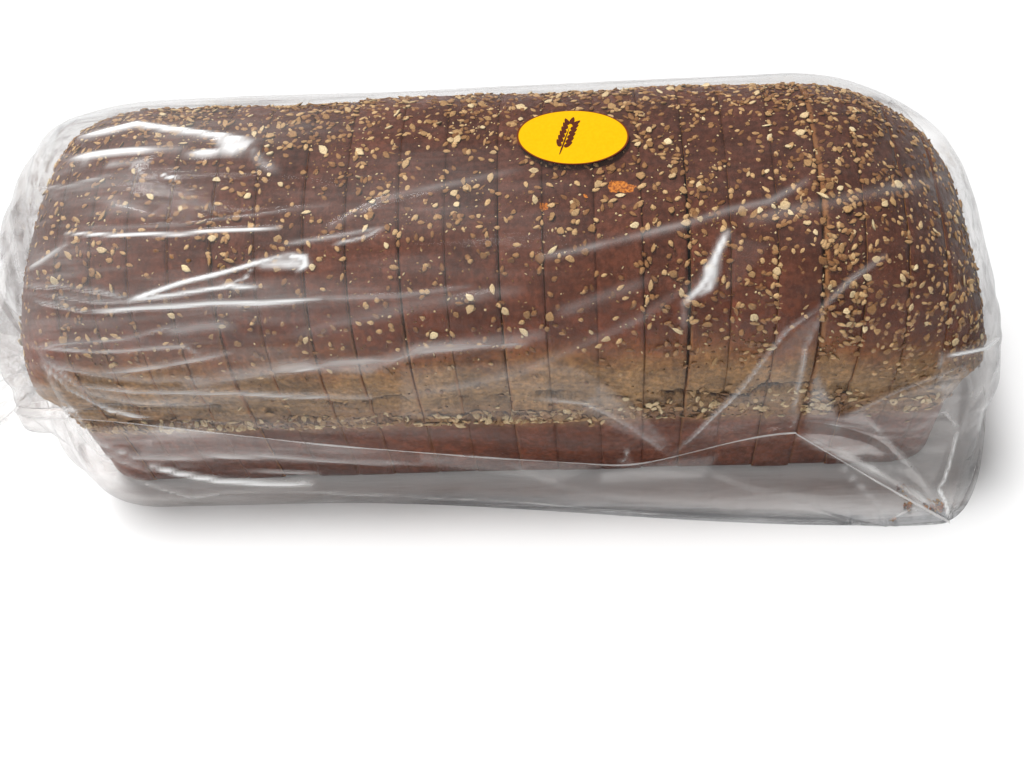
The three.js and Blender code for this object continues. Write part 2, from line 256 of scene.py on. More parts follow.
def loaf_surface(x, around, radial=1.0):
    """Points on the crust. Around goes from 0, mid base, up the front, over and down the back;
    radial under 1 gives points of a flat end face. Also the level of each before the fall, and
    how far the crust is torn away and cracked open there."""
    front = around < 0.5
    climb = np.where(front, around, 1 - around) * 2
    reach, level = loaf_outline(climb)
    flat_x = x
    for end, into, overhang in ((LOAF_LEFT, 1, LEFT_OVERHANG), (LOAF_RIGHT, -1, RIGHT_OVERHANG)):
        inwards = (flat_x - end) * into
        near = np.clip(1 - inwards / OVERHANG_REACH, 0, 1) ** 1.5
        x = x - into * overhang * near * smooth(level, 42, 80)
        corner = np.clip(1 - inwards / CORNER_RADIUS, 0, 1)
        rounding = 1 - np.sqrt(1 - corner**2)
        reach = reach - CORNER_RADIUS * rounding * np.clip(reach / SHOULDER_HALF, 0, 1)
        foot = np.clip(1 - inwards / FOOT_RADIUS, 0, 1)
        level = level + FOOT_RADIUS * (1 - np.sqrt(1 - foot**2)) * np.clip(1 - level / 30, 0, 1)
    reach = reach * (1 - RIGHT_PINCH * smooth(x, 120, 190) * smooth(level, 50, 110))
    bare = np.stack([x, np.where(front, -reach, reach), level], 1)
    curve = DOME_EXPONENT - 1
    above = level > SHOULDER_LEVEL
    across_out = np.where(above, (reach / SHOULDER_HALF) ** curve / SHOULDER_HALF, 1.0)
    rise = np.clip((level - SHOULDER_LEVEL) / (LOAF_TOP - SHOULDER_LEVEL), 0, 1)
    up_out = np.where(above, rise**curve / (LOAF_TOP - SHOULDER_LEVEL), 0.0)
    length = np.hypot(across_out, up_out)
    across_out, up_out = across_out / length, up_out / length
    # lumps, and fine pimples all over
    on_dome = smooth(level, 70, 95)
    push = (0.85 * grain(bare, 34, 1) + 0.45 * grain(bare, 13, 2)) * (0.35 + 0.65 * on_dome) - 0.55
    push += 0.16 * grain(bare, 4.5, 3) + 0.10 * grain(bare, 2.2, 4)
    # the torn band, rougher at the right, with a crack along it and another above the rim
    in_tear = band(level, 49, 54, 72, 84)
    ragged = 0.5 + 0.5 * smooth(x, 20, 60)
    tear = 0.55 * grain(bare * [1, 1, 0.6], 5.0, 7) + 0.45 * np.abs(grain(bare, 2.8, 8))
    push += in_tear * (tear - 0.4) * (0.6 + 0.6 * ragged)
    crack_line = CRACK_LEVEL + 4.5 * grain_along(x, 20, 9) + 2.4 * grain_along(x, 5, 10)
    crack_line += 1.1 * grain_along(x, 2.1, 16)
    crack = bell(level, crack_line, CRACK_WIDTH)
    crack *= (0.25 + 0.75 * ragged) * np.clip(0.50 + 1.5 * grain(bare, 8, 11), 0, 1)
    rim_line = RIM_CRACK_LEVEL + 1.6 * grain_along(x, 11, 14)
    rim_crack = bell(level, rim_line, RIM_CRACK_WIDTH) * smooth(-x, -70, -20)
    crack = np.maximum(crack, rim_crack * np.clip(0.45 + 1.1 * grain(bare, 6, 15), 0, 1))
    push -= CRACK_DEPTH * crack
    # the ridge at the rim, and the tin sides, drawn lengthwise by the tin
    push += 0.9 * bell(level, RIM_LEVEL + 1.5, 1.6)
    push += 0.35 * grain(bare * [0.15, 1, 1], 5.5, 12) * (1 - smooth(level, 40, 48))
    push *= smooth(level, 1.0, 9.0)
    y = bare[:, 1] + push * across_out * np.where(front, -1, 1)
    z = level + push * up_out
    behind = np.clip(bare[:, 1] / SHOULDER_HALF, 0, 1) * rise
    swell = BACK_SWELL * smooth(-x, -60, 60) * behind
    y, z = y + swell, z + swell
    fall = np.where(x > 0, fall_share(x, RIGHT_FALL), fall_share(x, LEFT_FALL))
    z = np.where(z > FALL_FROM, FALL_FROM + (z - FALL_FROM) * fall, z) + LOAF_LIFT
    points = np.stack([x, y * radial, FACE_MIDDLE + (z - FACE_MIDDLE) * radial], 1)
    torn = torn_share(points)
    points[:, 2] -= 0.9 * torn * (0.6 + 0.4 * np.abs(grain(points, 1.8, 13)))
    return points, level, torn, crack


class Value:
    """A shader value. Arithmetic on it adds Math nodes to its material."""

    def __init__(self, paint, socket):
        self.paint = paint
        self.socket = socket

    def math(self, operation, *others):
        return self.paint.node("Math", {"operation": operation}, dict(enumerate((self, *others))))

    def __add__(self, other):
        return self.math("ADD", other)

    def __sub__(self, other):
        return self.math("SUBTRACT", other)

    def __rsub__(self, other):
        return self.paint.node("Math", {"operation": "SUBTRACT"}, {0: other, 1: self})

    def __mul__(self, other):
        return self.math("MULTIPLY", other)

    def __pow__(self, other):
        return self.math("POWER", other)

    __radd__ = __add__
    __rmul__ = __mul__

    def step(self, low, high, to_low=0.0, to_high=1.0):
        """A smooth step from to_low, where the value is low, to to_high, where it is high."""
        sockets = {"Value": self, "From Min": low, "From Max": high, "To Min": to_low, "To Max": to_high}
        return self.paint.node("MapRange", {"interpolation_type": "SMOOTHSTEP"}, sockets)


class Paint:
    """One procedural material, and the nodes that make it."""

    def __init__(self, name):
        self.material = bpy.data.materials.new(name)
        self.material.use_nodes = True
        self.tree = self.material.node_tree
        self.tree.nodes.clear()
        self.end = self.tree.nodes.new("ShaderNodeOutputMaterial")

    def node(self, kind, settings=None, sockets=None, out=0):
        """Any node: its settings first, with a ramp's stops, then the values or links it takes."""
        made = self.tree.nodes.new("ShaderNode" + kind)
        for key, value in (settings or {}).items():
            if key == "stops":
                self.set_stops(made.color_ramp, value)
            else:
                setattr(made, key, value)
        for key, value in (sockets or {}).items():
            if isinstance(value, Value):
                self.tree.links.new(value.socket, made.inputs[key])
            else:
                made.inputs[key].default_value = value
        return Value(self, made.outputs[out])

    def set_stops(self, ramp, stops):
        while len(ramp.elements) < len(stops):
            ramp.elements.new(1.0)
        for element, (position, colour) in zip(ramp.elements, stops):
            element.position = position
            element.color = (*colour, 1)

    def ramp(self, value, stops):
        return self.node("ValToRGB", {"stops": stops}, {"Fac": value})

    def attribute(self, name):
        return self.node("Attribute", {"attribute_name": name}, out="Fac")

    def place(self, scale=(1, 1, 1)):
        """Object coordinates in millimetres, with each axis scaled."""
        spot = self.node("TexCoord", out="Object")
        size = [s / MM for s in scale]
        return self.node("Mapping", {"vector_type": "POINT"}, {"Vector": spot, "Scale": size})

    def noise(self, size, detail=3.0, roughness=0.5, scale=(1, 1, 1), distortion=0.0):
        """Cloudy noise with features of about the given size, in millimetres."""
        sockets = {"Vector": self.place(scale), "Scale": 1 / size, "Detail": detail}
        sockets |= {"Roughness": roughness, "Distortion": distortion}
        return self.node("TexNoise", {}, sockets)

    def mix(self, factor, first, second, blend="MIX"):
        settings = {"data_type": "RGBA", "blend_type": blend}
        return self.node("Mix", settings, {"Factor": factor, 6: first, 7: second}, out=2)

    def shaded(self, colour, shade):
        """A colour made darker or lighter by a number."""
        grey = self.node("CombineColor", {}, {0: shade, 1: shade, 2: shade})
        return self.mix(1.0, colour, grey, "MULTIPLY")

    def bump(self, height, distance, strength=1.0):
        sockets = {"Height": height, "Distance": distance * MM, "Strength": strength}
        return self.node("Bump", {}, sockets)

    def principled(self, **sockets):
        """The surface itself, with its sockets named as in Blender, spaces as underlines."""
        named = {key.replace("_", " "): value for key, value in sockets.items()}
        return self.node("BsdfPrincipled", {}, named)

    def finish(self, shader):
        self.tree.links.new(shader.socket, self.end.inputs["Surface"])
        return self.material


def crust_paint():
    """Baked crust: reddish tin sides, a tan torn band, then orange-brown up to chocolate."""
    paint = Paint("baked_crust")
    level = paint.attribute("level")
    drift = (paint.noise(26, 3) - 0.5) * 0.18 + (paint.noise(4, 3, 0.6) - 0.5) * 0.07
    baked = paint.ramp(
        level + drift * level.step(0.2, 0.6, 0.25, 1.0),
        [
            (0.00, (0.115, 0.030, 0.014)),
            (0.06, (0.172, 0.045, 0.019)),
            (0.29, (0.160, 0.043, 0.018)),
            (0.345, (0.280, 0.132, 0.056)),
            (0.46, (0.385, 0.220, 0.092)),
            (0.60, (0.365, 0.190, 0.068)),
            (0.68, (0.245, 0.076, 0.017)),
            (0.76, (0.166, 0.036, 0.010)),
            (0.86, (0.146, 0.043, 0.021)),
            (1.00, (0.096, 0.034, 0.0215)),
        ],
    )
    mottle = paint.noise(2.2, 4, 0.65).step(0.35, 0.7, 0.70, 1.25)
    patchy = paint.noise(11, 3, 0.55).step(0.3, 0.7, 0.80, 1.20)
    streaky = paint.noise(1.1, 3, 0.6, (1, 0.25, 0.12)).step(0.3, 0.7, 0.88, 1.10)
    in_band = level.step(0.36, 0.44) * level.step(0.58, 0.72, 1.0, 0.0)
    crumbly = paint.noise(2.4, 5, 0.72).step(0.36, 0.62, 0.72, 1.10)
    shade = mottle * patchy * streaky * paint.attribute("slice_tone")
    shade = shade * (in_band * crumbly + (1 - in_band))
    baked = paint.shaded(baked, shade)
    # painted shade: the crack is drawn near black for the shadow down in it
    painted_crack_shade = (paint.attribute("crack") + paint.noise(1.3, 4, 0.7) * 1.1).step(0.80, 1.30)
    baked = paint.mix(painted_crack_shade, baked, (0.045, 0.019, 0.011, 1))
    chipped = (paint.attribute("from_worn") + paint.noise(1.7, 3, 0.7) * 1.6).step(1.15, 1.9, 1.0, 0.0)
    chipped = chipped * (level - paint.attribute("worn_high") * 0.28).step(0.62, 0.86, 0.66, 0.0)
    chipped = chipped * level.step(0.30, 0.37, 0.25, 1.0)
    baked = paint.mix(chipped, baked, (0.46, 0.205, 0.072, 1))
    crumbs = paint.noise(0.9, 2, 0.6)
    torn_colour = paint.ramp(crumbs, [(0.35, (0.22, 0.05, 0.010)), (0.65, (0.72, 0.24, 0.035))])
    torn = (paint.attribute("torn") * 1.1 + paint.noise(1.5, 3, 0.75) - 0.5).step(0.48, 0.66)
    baked = paint.mix(torn, baked, torn_colour)
    wrinkles = paint.noise(2.6, 4, 0.6, distortion=0.6) * 0.7 + paint.noise(0.7, 2, 0.5) * 0.3
    wrinkles = wrinkles + in_band * crumbly * 1.2
    shader = paint.principled(
        Base_Color=baked,
        Roughness=paint.noise(3.0, 2).step(0.3, 0.7, 0.42, 0.62),
        Specular_IOR_Level=0.35,
        Normal=paint.bump(wrinkles, 0.6, 0.9),
    )
    return paint.finish(shader)


def crumb_paint():
    """The cut crumb: tan wholegrain bread with small open pores, painted darker for the shade in them."""
    paint = Paint("cut_crumb")
    pores = paint.node("TexVoronoi", {"feature": "F1"}, {"Vector": paint.place(), "Scale": 0.55})
    tone = paint.noise(4, 4, 0.6)
    colour = paint.ramp(tone, [(0.3, (0.40, 0.165, 0.055)), (0.7, (0.62, 0.29, 0.11))])
    hollow = pores.step(0.15, 0.45)
    # painted shade: the colour goes darker in the pores
    colour = paint.mix(hollow, paint.mix(0.45, colour, (0.10, 0.035, 0.012, 1)), colour)
    shader = paint.principled(
        Base_Color=colour,
        Roughness=0.85,
        Specular_IOR_Level=0.2,
        Normal=paint.bump(hollow + paint.noise(1.0, 3) * 0.5, 0.6),
    )
    return paint.finish(shader)


crust = crust_paint()
crumb = crumb_paint()


# The slices: the loaf is cut square across into 22 slices of 12 to 19 mm, which stand together
# in the bag as they left the slicer. A few cuts gape a little and show the crumb.
AROUND, RING_STEP = 288, 1.6
HEEL_INSETS, HEEL_INSET, CUT_INSET = 7, 0.12, 0.02  # in shares of the half width
CUTS = [
    -158.5, -146, -132.1, -117.4, -102, -86.6, -69.2, -54, -35.3, -18.7, -0.2, 15.6, 33.8, 50,
    65.3, 80, 96, 110.7, 126, 141.2, 154.4,
]
# how far the slices stand apart at the top: by the number of the cut, from 0, and at any other
GAPING = {
    1: 0.55, 2: 0.65, 3: 0.85, 4: 0.8, 5: 0.8, 6: 0.9, 7: 0.7, 8: 0.9, 10: 0.6, 12: 0.0,
    14: 1.2, 17: 1.1, 19: 0.6,
}
CUT_GAP = 0.22
CUT_ROUND, CUT_ROUND_REACH = 0.22, 0.7  # how far the crust draws in at a cut, and over what reach
HEEL_SWELL = 1.8  # how far the end faces of the loaf bulge
LEAN_ACROSS, LIFT = 0.28, 0.12  # how unevenly the slices stand
WORN_ENDS = range(0, 10)  # slices whose crust is worn to the crumb along their right cut
WORN_STARTS = (8, 10, 14, 17)  # and along their left cut
WORN_HIGH = 17  # the cut whose crust is worn right up the dome
FAR_FROM_CUT = 9.0
slice_random = np.random.default_rng(22)


def lerp(a, b, t):
    return a + (b - a) * t


def attribute_of(piece, name, values):
    """Stores one number for each vertex, for the piece's material to read."""
    layer = piece.data.attributes.new(name, "FLOAT", "POINT")
    layer.data.foreach_set("value", np.asarray(values, np.float32))


def points_of(piece):
    """The vertices of a piece, in metres."""
    return np.array([v.co[:] for v in piece.data.vertices])


def move_points(piece, points):
    """Puts the vertices of a piece at points, in millimetres."""
    piece.data.vertices.foreach_set("co", (points * MM).ravel())
    piece.data.update()


def face_outwards(piece):
    """Turns the faces of a closed piece outwards."""
    bpy.ops.object.mode_set(mode="EDIT")
    bpy.ops.mesh.select_all(action="SELECT")
    bpy.ops.mesh.normals_make_consistent(inside=False)
    bpy.ops.object.mode_set(mode="OBJECT")


def unit(vectors):
    """Vectors at a length of 1."""
    return vectors / np.maximum(np.linalg.norm(vectors, axis=-1, keepdims=True), 1e-9)


def only_select(piece, kind, chosen):
    """Leaves edit mode ready with just the chosen edges or faces selected."""
    bpy.ops.object.mode_set(mode="EDIT")
    bpy.context.tool_settings.mesh_select_mode = (False, kind == "edges", kind == "polygons")
    bpy.ops.mesh.select_all(action="DESELECT")
    bpy.ops.object.mode_set(mode="OBJECT")
    for element in getattr(piece.data, kind):
        if chosen(element):
            element.select = True
    bpy.ops.object.mode_set(mode="EDIT")


def bread_slice(number, start, end, start_gap, end_gap):
    """One slice, shaped from a drum: its side rings follow the crust, its ends are the cuts."""
    left_cut, right_cut = start != LOAF_LEFT, end != LOAF_RIGHT
    left_number, right_number = number - 2, number - 1  # of the cuts beside it, from 0
    cylinder = bpy.ops.mesh.primitive_cylinder_add
    piece = started_from(cylinder, f"slice_{number:02d}", vertices=AROUND, radius=1, depth=1)
    corners = points_of(piece)[:, 2]
    only_select(piece, "edges", lambda e: corners[e.vertices[0]] != corners[e.vertices[1]])
    bpy.ops.mesh.subdivide(number_cuts=max(3, round((end - start) / RING_STEP)))
    for cut, side in ((left_cut, -1), (right_cut, 1)):
        bpy.ops.object.mode_set(mode="OBJECT")
        only_select(piece, "polygons", lambda f: f.normal.z * side > 0.9)
        for _ in range(1 if cut else HEEL_INSETS):
            bpy.ops.mesh.inset(thickness=CUT_INSET if cut else HEEL_INSET)
    bpy.ops.object.mode_set(mode="OBJECT")
    drum = points_of(piece)
    along = drum[:, 2] + 0.5
    around = (np.arctan2(drum[:, 1], drum[:, 0]) / (2 * math.pi)) % 1
    radial = np.hypot(drum[:, 0], drum[:, 1])
    x = start + (end - start) * along
    face = radial < 0.995
    crust_x = np.clip(x, start, end)
    points, level, torn, crack = loaf_surface(crust_x, around, np.where(face, radial, 1.0))
    edge = np.minimum(x - start if left_cut else FAR_FROM_CUT, end - x if right_cut else FAR_FROM_CUT)
    pull = np.where(face, 0.0, CUT_ROUND * np.clip(1 - edge / CUT_ROUND_REACH, 0, 1) ** 2)
    points[:, 1:] -= unit(points[:, 1:] - [0, 50]) * pull[:, None]
    high = np.clip((points[:, 2] - 30) / 70, 0, 1)
    high *= 1 - lerp(0.85, 0.35, smooth(-points[:, 0], 20, 60)) * smooth(points[:, 1], -42, 12)
    points[:, 0] += (1 - along) * start_gap * high - along * end_gap * high
    swell = np.where(face, HEEL_SWELL * (1 - radial**2), 0)
    if not right_cut:
        points[:, 0] += swell * (along > 0.5)
    if not left_cut:
        points[:, 0] -= swell * (along < 0.5)
    shift = slice_random.normal(0, [0, LEAN_ACROSS, 0])
    shift[2] = abs(slice_random.normal(0, LIFT))
    move_points(piece, points + shift)
    tone = np.clip(slice_random.normal(1.0, 0.06), 0.88, 1.12)
    share = level / LOAF_TOP
    worn_high = left_number == WORN_HIGH
    from_worn = end - x if right_number in WORN_ENDS else np.full(len(x), FAR_FROM_CUT)
    if left_number in WORN_STARTS:
        from_worn = np.minimum(from_worn, (x - start) * (0.5 if worn_high else 1.0))
    attribute_of(piece, "level", share)
    attribute_of(piece, "torn", torn)
    attribute_of(piece, "crack", crack)
    # a random tone for each slice, with painted shade that darkens the dome toward the right
    attribute_of(piece, "slice_tone", tone * (1 - 0.10 * smooth(x, 20, 90) * smooth(share, 0.64, 0.72)))
    attribute_of(piece, "from_worn", from_worn)
    attribute_of(piece, "worn_high", np.full(len(x), float(worn_high)))
    piece.data.materials.append(crust)
    piece.data.materials.append(crumb)
    for polygon in piece.data.polygons:
        spots = drum[list(polygon.vertices)]
        flat = abs(spots[:, 2]).min() > 0.499
        is_cut = flat and (left_cut if spots[0, 2] < 0 else right_cut)
        polygon.material_index = int(is_cut)
        polygon.use_smooth = not is_cut
    face_outwards(piece)
    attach(piece, "root")


for index, (start, end) in enumerate(itertools.pairwise([LOAF_LEFT, *CUTS, LOAF_RIGHT])):
    start_gap = 0 if start == LOAF_LEFT else GAPING.get(index - 1, CUT_GAP)
    end_gap = 0 if end == LOAF_RIGHT else min(GAPING.get(index, CUT_GAP), CUT_GAP) * 0.3
    bread_slice(index + 1, start, end, start_gap, end_gap)


# The topping: toasted sesame, rolled oat flakes and flecks of bran, pressed on before baking.
# They lie thickest on the top, the back and the right end, and in a row along the tin's rim.
SESAME_COUNT, OAT_COUNT, FLECK_COUNT, RIM_COUNT = 4700, 1000, 8200, 520
DRAWN_AT_ONCE = 6000
LOW_AROUND, HIGH_AROUND = 0.205, 0.795  # the topping keeps off the base and the foot
SMALLEST, LARGEST = 0.55, 1.5  # the limits of a seed's size, in shares of the mean
topping_random = np.random.default_rng(7)


def crust_frame(x, around):
    """Points on the crust, with the direction out of it at each."""
    here, level, torn, _ = loaf_surface(x, around)
    step_x, step_around = 1.5, 0.004
    ahead, behind = loaf_surface(x + step_x, around)[0], loaf_surface(x - step_x, around)[0]
    up, down = loaf_surface(x, around + step_around)[0], loaf_surface(x, around - step_around)[0]
    out = unit(np.cross(ahead - behind, down - up))
    middle = np.stack([x * 0.85, 0 * x, 0 * x + 60.0], 1)
    facing = np.sign(((here - middle) * out).sum(1))
    return here, out * np.where(facing == 0, 1, facing)[:, None], level, torn


def topping_share(x, around, level, points):
    """How thickly the topping lies at a place on the crust, from 0 to 1."""
    rightward = smooth(x, 20, 120)
    slope = smooth(level, 78, 96) * (0.17 + 0.42 * rightward + 0.08 * smooth(-x, 90, 150))
    top = smooth(level, 120, 137) * (0.38 + 0.37 * rightward)
    share = np.where(around < 0.5, np.maximum(slope, top), smooth(level, 74, 92) * 0.75)
    for patch in (
        0.72 * smooth(points[:, 1], -12, 22) * smooth(level, 112, 132),  # the back of the top
        0.95 * bell(level, 51, 3.4) * (0.7 + 0.3 * smooth(-x, -80, 60)),  # the row at the rim
        0.85 * band(x, 58, 80, 125, 150) * bell(level, 58, 7),  # the drift above it at the right
        0.05 * smooth(level, 52, 60),  # everywhere above the rim
        0.75 * smooth(x, 120, 150) * smooth(level, 66, 80),  # the right end
    ):
        share = np.maximum(share, patch)
    patchy = 0.5 + 0.5 * grain(points, 16, 31)
    return np.clip(share * (0.55 + 0.75 * patchy), 0, 1)


def scattered(count, share_power=1.0):
    """Places on the crust, drawn by how thickly the topping lies there."""
    kept = []
    while sum(len(batch[0]) for batch in kept) < count:
        x = topping_random.uniform(LOAF_LEFT + 1, LOAF_RIGHT - 1, DRAWN_AT_ONCE)
        around = topping_random.uniform(LOW_AROUND, HIGH_AROUND, DRAWN_AT_ONCE)
        points, out, level, torn = crust_frame(x, around)
        share = topping_share(x, around, level, points) ** share_power
        good = (topping_random.uniform(0, 1, DRAWN_AT_ONCE) < share) & (torn < 0.5)
        kept.append((points[good], out[good]))
    return (np.concatenate(batches)[:count] for batches in zip(*kept))


def rim_row(count):
    """Places in the torn band, where flakes that slid down the sides lie in a row above the rim."""
    x = topping_random.uniform(LOAF_LEFT + 8, LOAF_RIGHT - 8, count * 3)
    low = 0.5 * (0.435 + 0.03 * smooth(x, 10, 70))
    around = low + topping_random.normal(0, 0.006 + 0.010 * smooth(x, 10, 70), len(x))
    points, out, _, _ = crust_frame(x, around)
    lined = 0.45 + 0.55 * grain(points * [1, 0, 0], 13, 33) > topping_random.uniform(0, 0.8, len(x))
    return points[lined][:count], out[lined][:count]


def seed_form(segments, rings, shape):
    """The vertices and faces of one seed, in millimetres: a primitive shaped by a function."""
    ball = bpy.ops.mesh.primitive_uv_sphere_add
    form = started_from(ball, "seed_form", segments=segments, ring_count=rings, radius=1)
    points = points_of(form)
    faces = [list(f.vertices) for f in form.data.polygons]
    bpy.data.objects.remove(form)
    return shape(points), faces


def new_piece(name, points, faces):
    """A smooth piece from its points, in millimetres, and its faces."""
    piece = bpy.data.objects.new(name, bpy.data.meshes.new(name))
    bpy.context.scene.collection.objects.link(piece)
    piece.data.from_pydata((points * MM).tolist(), [], faces)
    piece.data.polygons.foreach_set("use_smooth", [True] * len(faces))
    return piece


def joined_seeds(name, form, places, out, mean_size, spread, sink, tilt, paint):
    """One mesh of many copies of a seed, each of its own size, turned its own way and pressed
    into the crust."""
    points, faces = form
    count, each = len(places), len(points)
    mean_size = np.array(mean_size)
    sizes = mean_size * topping_random.normal(1, spread, (count, 3))
    sizes = np.clip(sizes, mean_size * SMALLEST, mean_size * LARGEST)
    lean = unit(out + topping_random.normal(0, tilt, (count, 3)))
    side = unit(np.cross(lean, topping_random.normal(0, 1, (count, 3))))
    basis = np.stack([side, np.cross(lean, side), lean], 1)
    copies = np.einsum("nij,nki->nkj", basis, points[None] * sizes[:, None, :])
    copies += places[:, None, :] - lean[:, None, :] * sink
    all_faces = [[v + each * i for v in face] for i in range(count) for face in faces]
    piece = new_piece(name, copies.reshape(-1, 3), all_faces)
    attribute_of(piece, "tone", np.repeat(topping_random.uniform(0, 1, count), each))
    attribute_of(piece, "rise", np.tile(points[:, 2] / np.abs(points[:, 2]).max(), count))
    piece.data.materials.append(paint)
    return piece


def sesame_shape(points):
    """A flat teardrop, 3 mm long, 1.85 mm wide and 0.9 mm thick, with a blunt tip."""
    length, width, thickness = points.T
    taper = 1 - 0.42 * smooth(length, -0.2, 1.0) - 0.06 * length
    rim = 1 - 0.18 * width**2
    return np.stack([length * 1.5, width * 0.93 * taper, thickness * 0.46 * taper * rim], 1)


def flake_shape(points):
    """A rolled oat flake: a thin, dished oval with a ragged edge."""
    length, width, thickness = points.T
    angle = np.arctan2(width, length)
    ragged = 1 + 0.10 * np.sin(3 * angle + 0.5) + 0.08 * np.sin(5 * angle)
    dish = 0.30 * np.hypot(length, width) ** 2
    return np.stack([length * ragged, width * 0.72 * ragged, thickness * 0.34 + dish - 0.1], 1)


def fleck_shape(points):
    """A bit of bran: a plain small lump."""
    return points


def seed_paint(name, stops, roughness, relief):
    """A toasted seed: its own tone from its attribute, fine darker streaks, and painted shade that darkens
    it low down toward the crust and lightens its top.
    """
    paint = Paint(name)
    colour = paint.ramp(paint.attribute("tone"), stops)
    streak_and_shade = paint.noise(0.55, 3, 0.6).step(0.3, 0.7, 0.72, 1.12)
    # painted shade: each seed darker low down, toward the crust, and lighter on its top
    streak_and_shade = streak_and_shade * paint.attribute("rise").step(-0.3, 0.7, 0.42, 1.16)
    shader = paint.principled(
        Base_Color=paint.shaded(colour, streak_and_shade),
        Roughness=roughness,
        Specular_IOR_Level=0.4,
        Normal=paint.bump(paint.noise(0.4, 2), relief),
    )
    return paint.finish(shader)


SESAME_TONES = [(0.0, (0.18, 0.073, 0.026)), (0.5, (0.33, 0.165, 0.066)), (1.0, (0.62, 0.40, 0.190))]
OAT_TONES = [(0.0, (0.24, 0.110, 0.040)), (0.55, (0.45, 0.270, 0.120)), (1.0, (0.80, 0.64, 0.38))]
FLECK_TONES = [(0.0, (0.13, 0.050, 0.016)), (0.6, (0.32, 0.17, 0.065)), (1.0, (0.70, 0.54, 0.30))]

form = seed_form(7, 4, sesame_shape)
paint = seed_paint("toasted_sesame", SESAME_TONES, 0.42, 0.06)
places, out = scattered(SESAME_COUNT)
sesame = joined_seeds("sesame", form, places, out, (1.03, 1.05, 1.10), 0.15, -0.10, 0.16, paint)
form = seed_form(9, 4, flake_shape)
paint = seed_paint("rolled_oats", OAT_TONES, 0.7, 0.12)
places, out = (np.concatenate(both) for both in zip(scattered(OAT_COUNT), rim_row(RIM_COUNT)))
oats = joined_seeds("oat_flakes", form, places, out, (1.60, 1.60, 1.5), 0.28, -0.25, 0.30, paint)
form = seed_form(6, 3, fleck_shape)
paint = seed_paint("bran", FLECK_TONES, 0.75, 0.08)
places, out = scattered(FLECK_COUNT, 0.8)
flecks = joined_seeds("bran_flecks", form, places, out, (0.58, 0.40, 0.26), 0.34, -0.02, 0.30, paint)
for piece, slot_name in ((sesame, "sesame"), (oats, "oat_flakes"), (flecks, "oat_flakes")):
    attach(piece, "root")


# The bag: one thin clear film round the loaf, gathered to a neck at the left and welded shut
# along the front and at the right. Slack film spreads on the table as a skirt and two ears.
SIDE_END_X = 168.0
CROWN_HALF, CROWN_START, FILM_TOP, CROWN_EXPONENT = 61.4, 76.0, 141.0, 2.4
BACK_FOOT, BASE_START, BACK_SLACK = 58.0, 7.0, 3.2
WELD_OUT, WELD_LOW, WELD_LOW_X, WELD_LEFT_RISE = 64.5, 27.0, 40.0, 46.0
WELD_PEAK_X, WELD_PEAK = 108.0, 48.0
SKIRT_LEFT, SKIRT_RIGHT = 64.0, 80.0
CLOSED_FALL, TIED_FALL = (107.0, 192.0, 1.75), (-128.0, -210.0, 2.6)
CLOSED_TURN_X, CLOSED_END_X, CLOSED_EXPONENT, CLOSED_CAP = 164.0, 190.0, 2.8, 0.42
CLOSED_CENTRE, CLOSED_PINCH = np.array([-6.0, 40.0]), 0.17
FUNNEL_TURN_X, FUNNEL_EXPONENT, FRONT_GATHER_EXPONENT = -154.0, 6.0, 2.0
NECK, NECK_RADIUS, NECK_LENGTH = np.array([-200.0, -27.0, 52.0]), 10.0, 6.0
MOUTH, MOUTH_HALF_WIDTH, MOUTH_HALF_THICKNESS = np.array([-262.0, 4.0, 22.0]), 47.0, 4.5
MOUTH_WAVE, MOUTH_TILT = 4.5, math.radians(20)
PLEATS, PLEAT_DEPTH = 9, 2.4
FOLD_DEPTH, FOLD_COUNT = 0.6, 11
LABEL_CENTRE = np.array([26.8, 4.3])
FRONT_EAR = [
    (108, -60, 48), (108, -72, 0), (108, -40, 0), (148, -81, 0), (172, -79, 0),
    (171.5, -78.5, 3), (190, -44, 0), (190, -30, 40), (184, -40, 60), (150, -40, 66),
]
BACK_EAR = [
    (150, 52, 98), (156, 68.5, 92), (170.5, 61.5, 80), (178, 34, 76),
    (178, 40, 40), (150, 57, 30), (148, 40, 60),
]
BASE_LINES, SKIRT_LINES, WALL_LINES, FRONT_LINES, REAR_LINES, BACK_LINES = 9, 26, 58, 102, 56, 22
TAIL_RINGS, FUNNEL_RINGS, BODY_RINGS, CLOSED_RINGS = 40, 46, 210, 40
EAR_SOFTNESS = 2.5
FIN_OUT, FIN_SHARE = 3.2, 0.05  # how far the seam stands out, and over what share of the wall


def weld_height(x):
    """The height of the side weld along the bag."""
    left = np.clip((WELD_LOW_X - x) / (WELD_LOW_X + SIDE_END_X), 0, None)
    rising = lerp(WELD_LOW, WELD_PEAK, smooth(x, WELD_LOW_X, WELD_PEAK_X))
    falling = lerp(WELD_PEAK, 10, smooth(x, WELD_PEAK_X, CLOSED_END_X))
    rightward = np.where(x < WELD_PEAK_X, rising, falling)
    return np.where(x < WELD_LOW_X, WELD_LOW + WELD_LEFT_RISE * left**1.15, rightward)


def skirt_reach(x):
    return lerp(SKIRT_LEFT, SKIRT_RIGHT, smooth(x, -90, 150))


def crown_point(angle):
    power = 2 / CROWN_EXPONENT
    across = np.sign(np.cos(angle)) * np.abs(np.cos(angle)) ** power
    up = np.abs(np.sin(angle)) ** power
    slack = BACK_SLACK * np.maximum(0, across) * up
    return CROWN_HALF * across + slack, CROWN_START + (FILM_TOP - CROWN_START) * up + slack


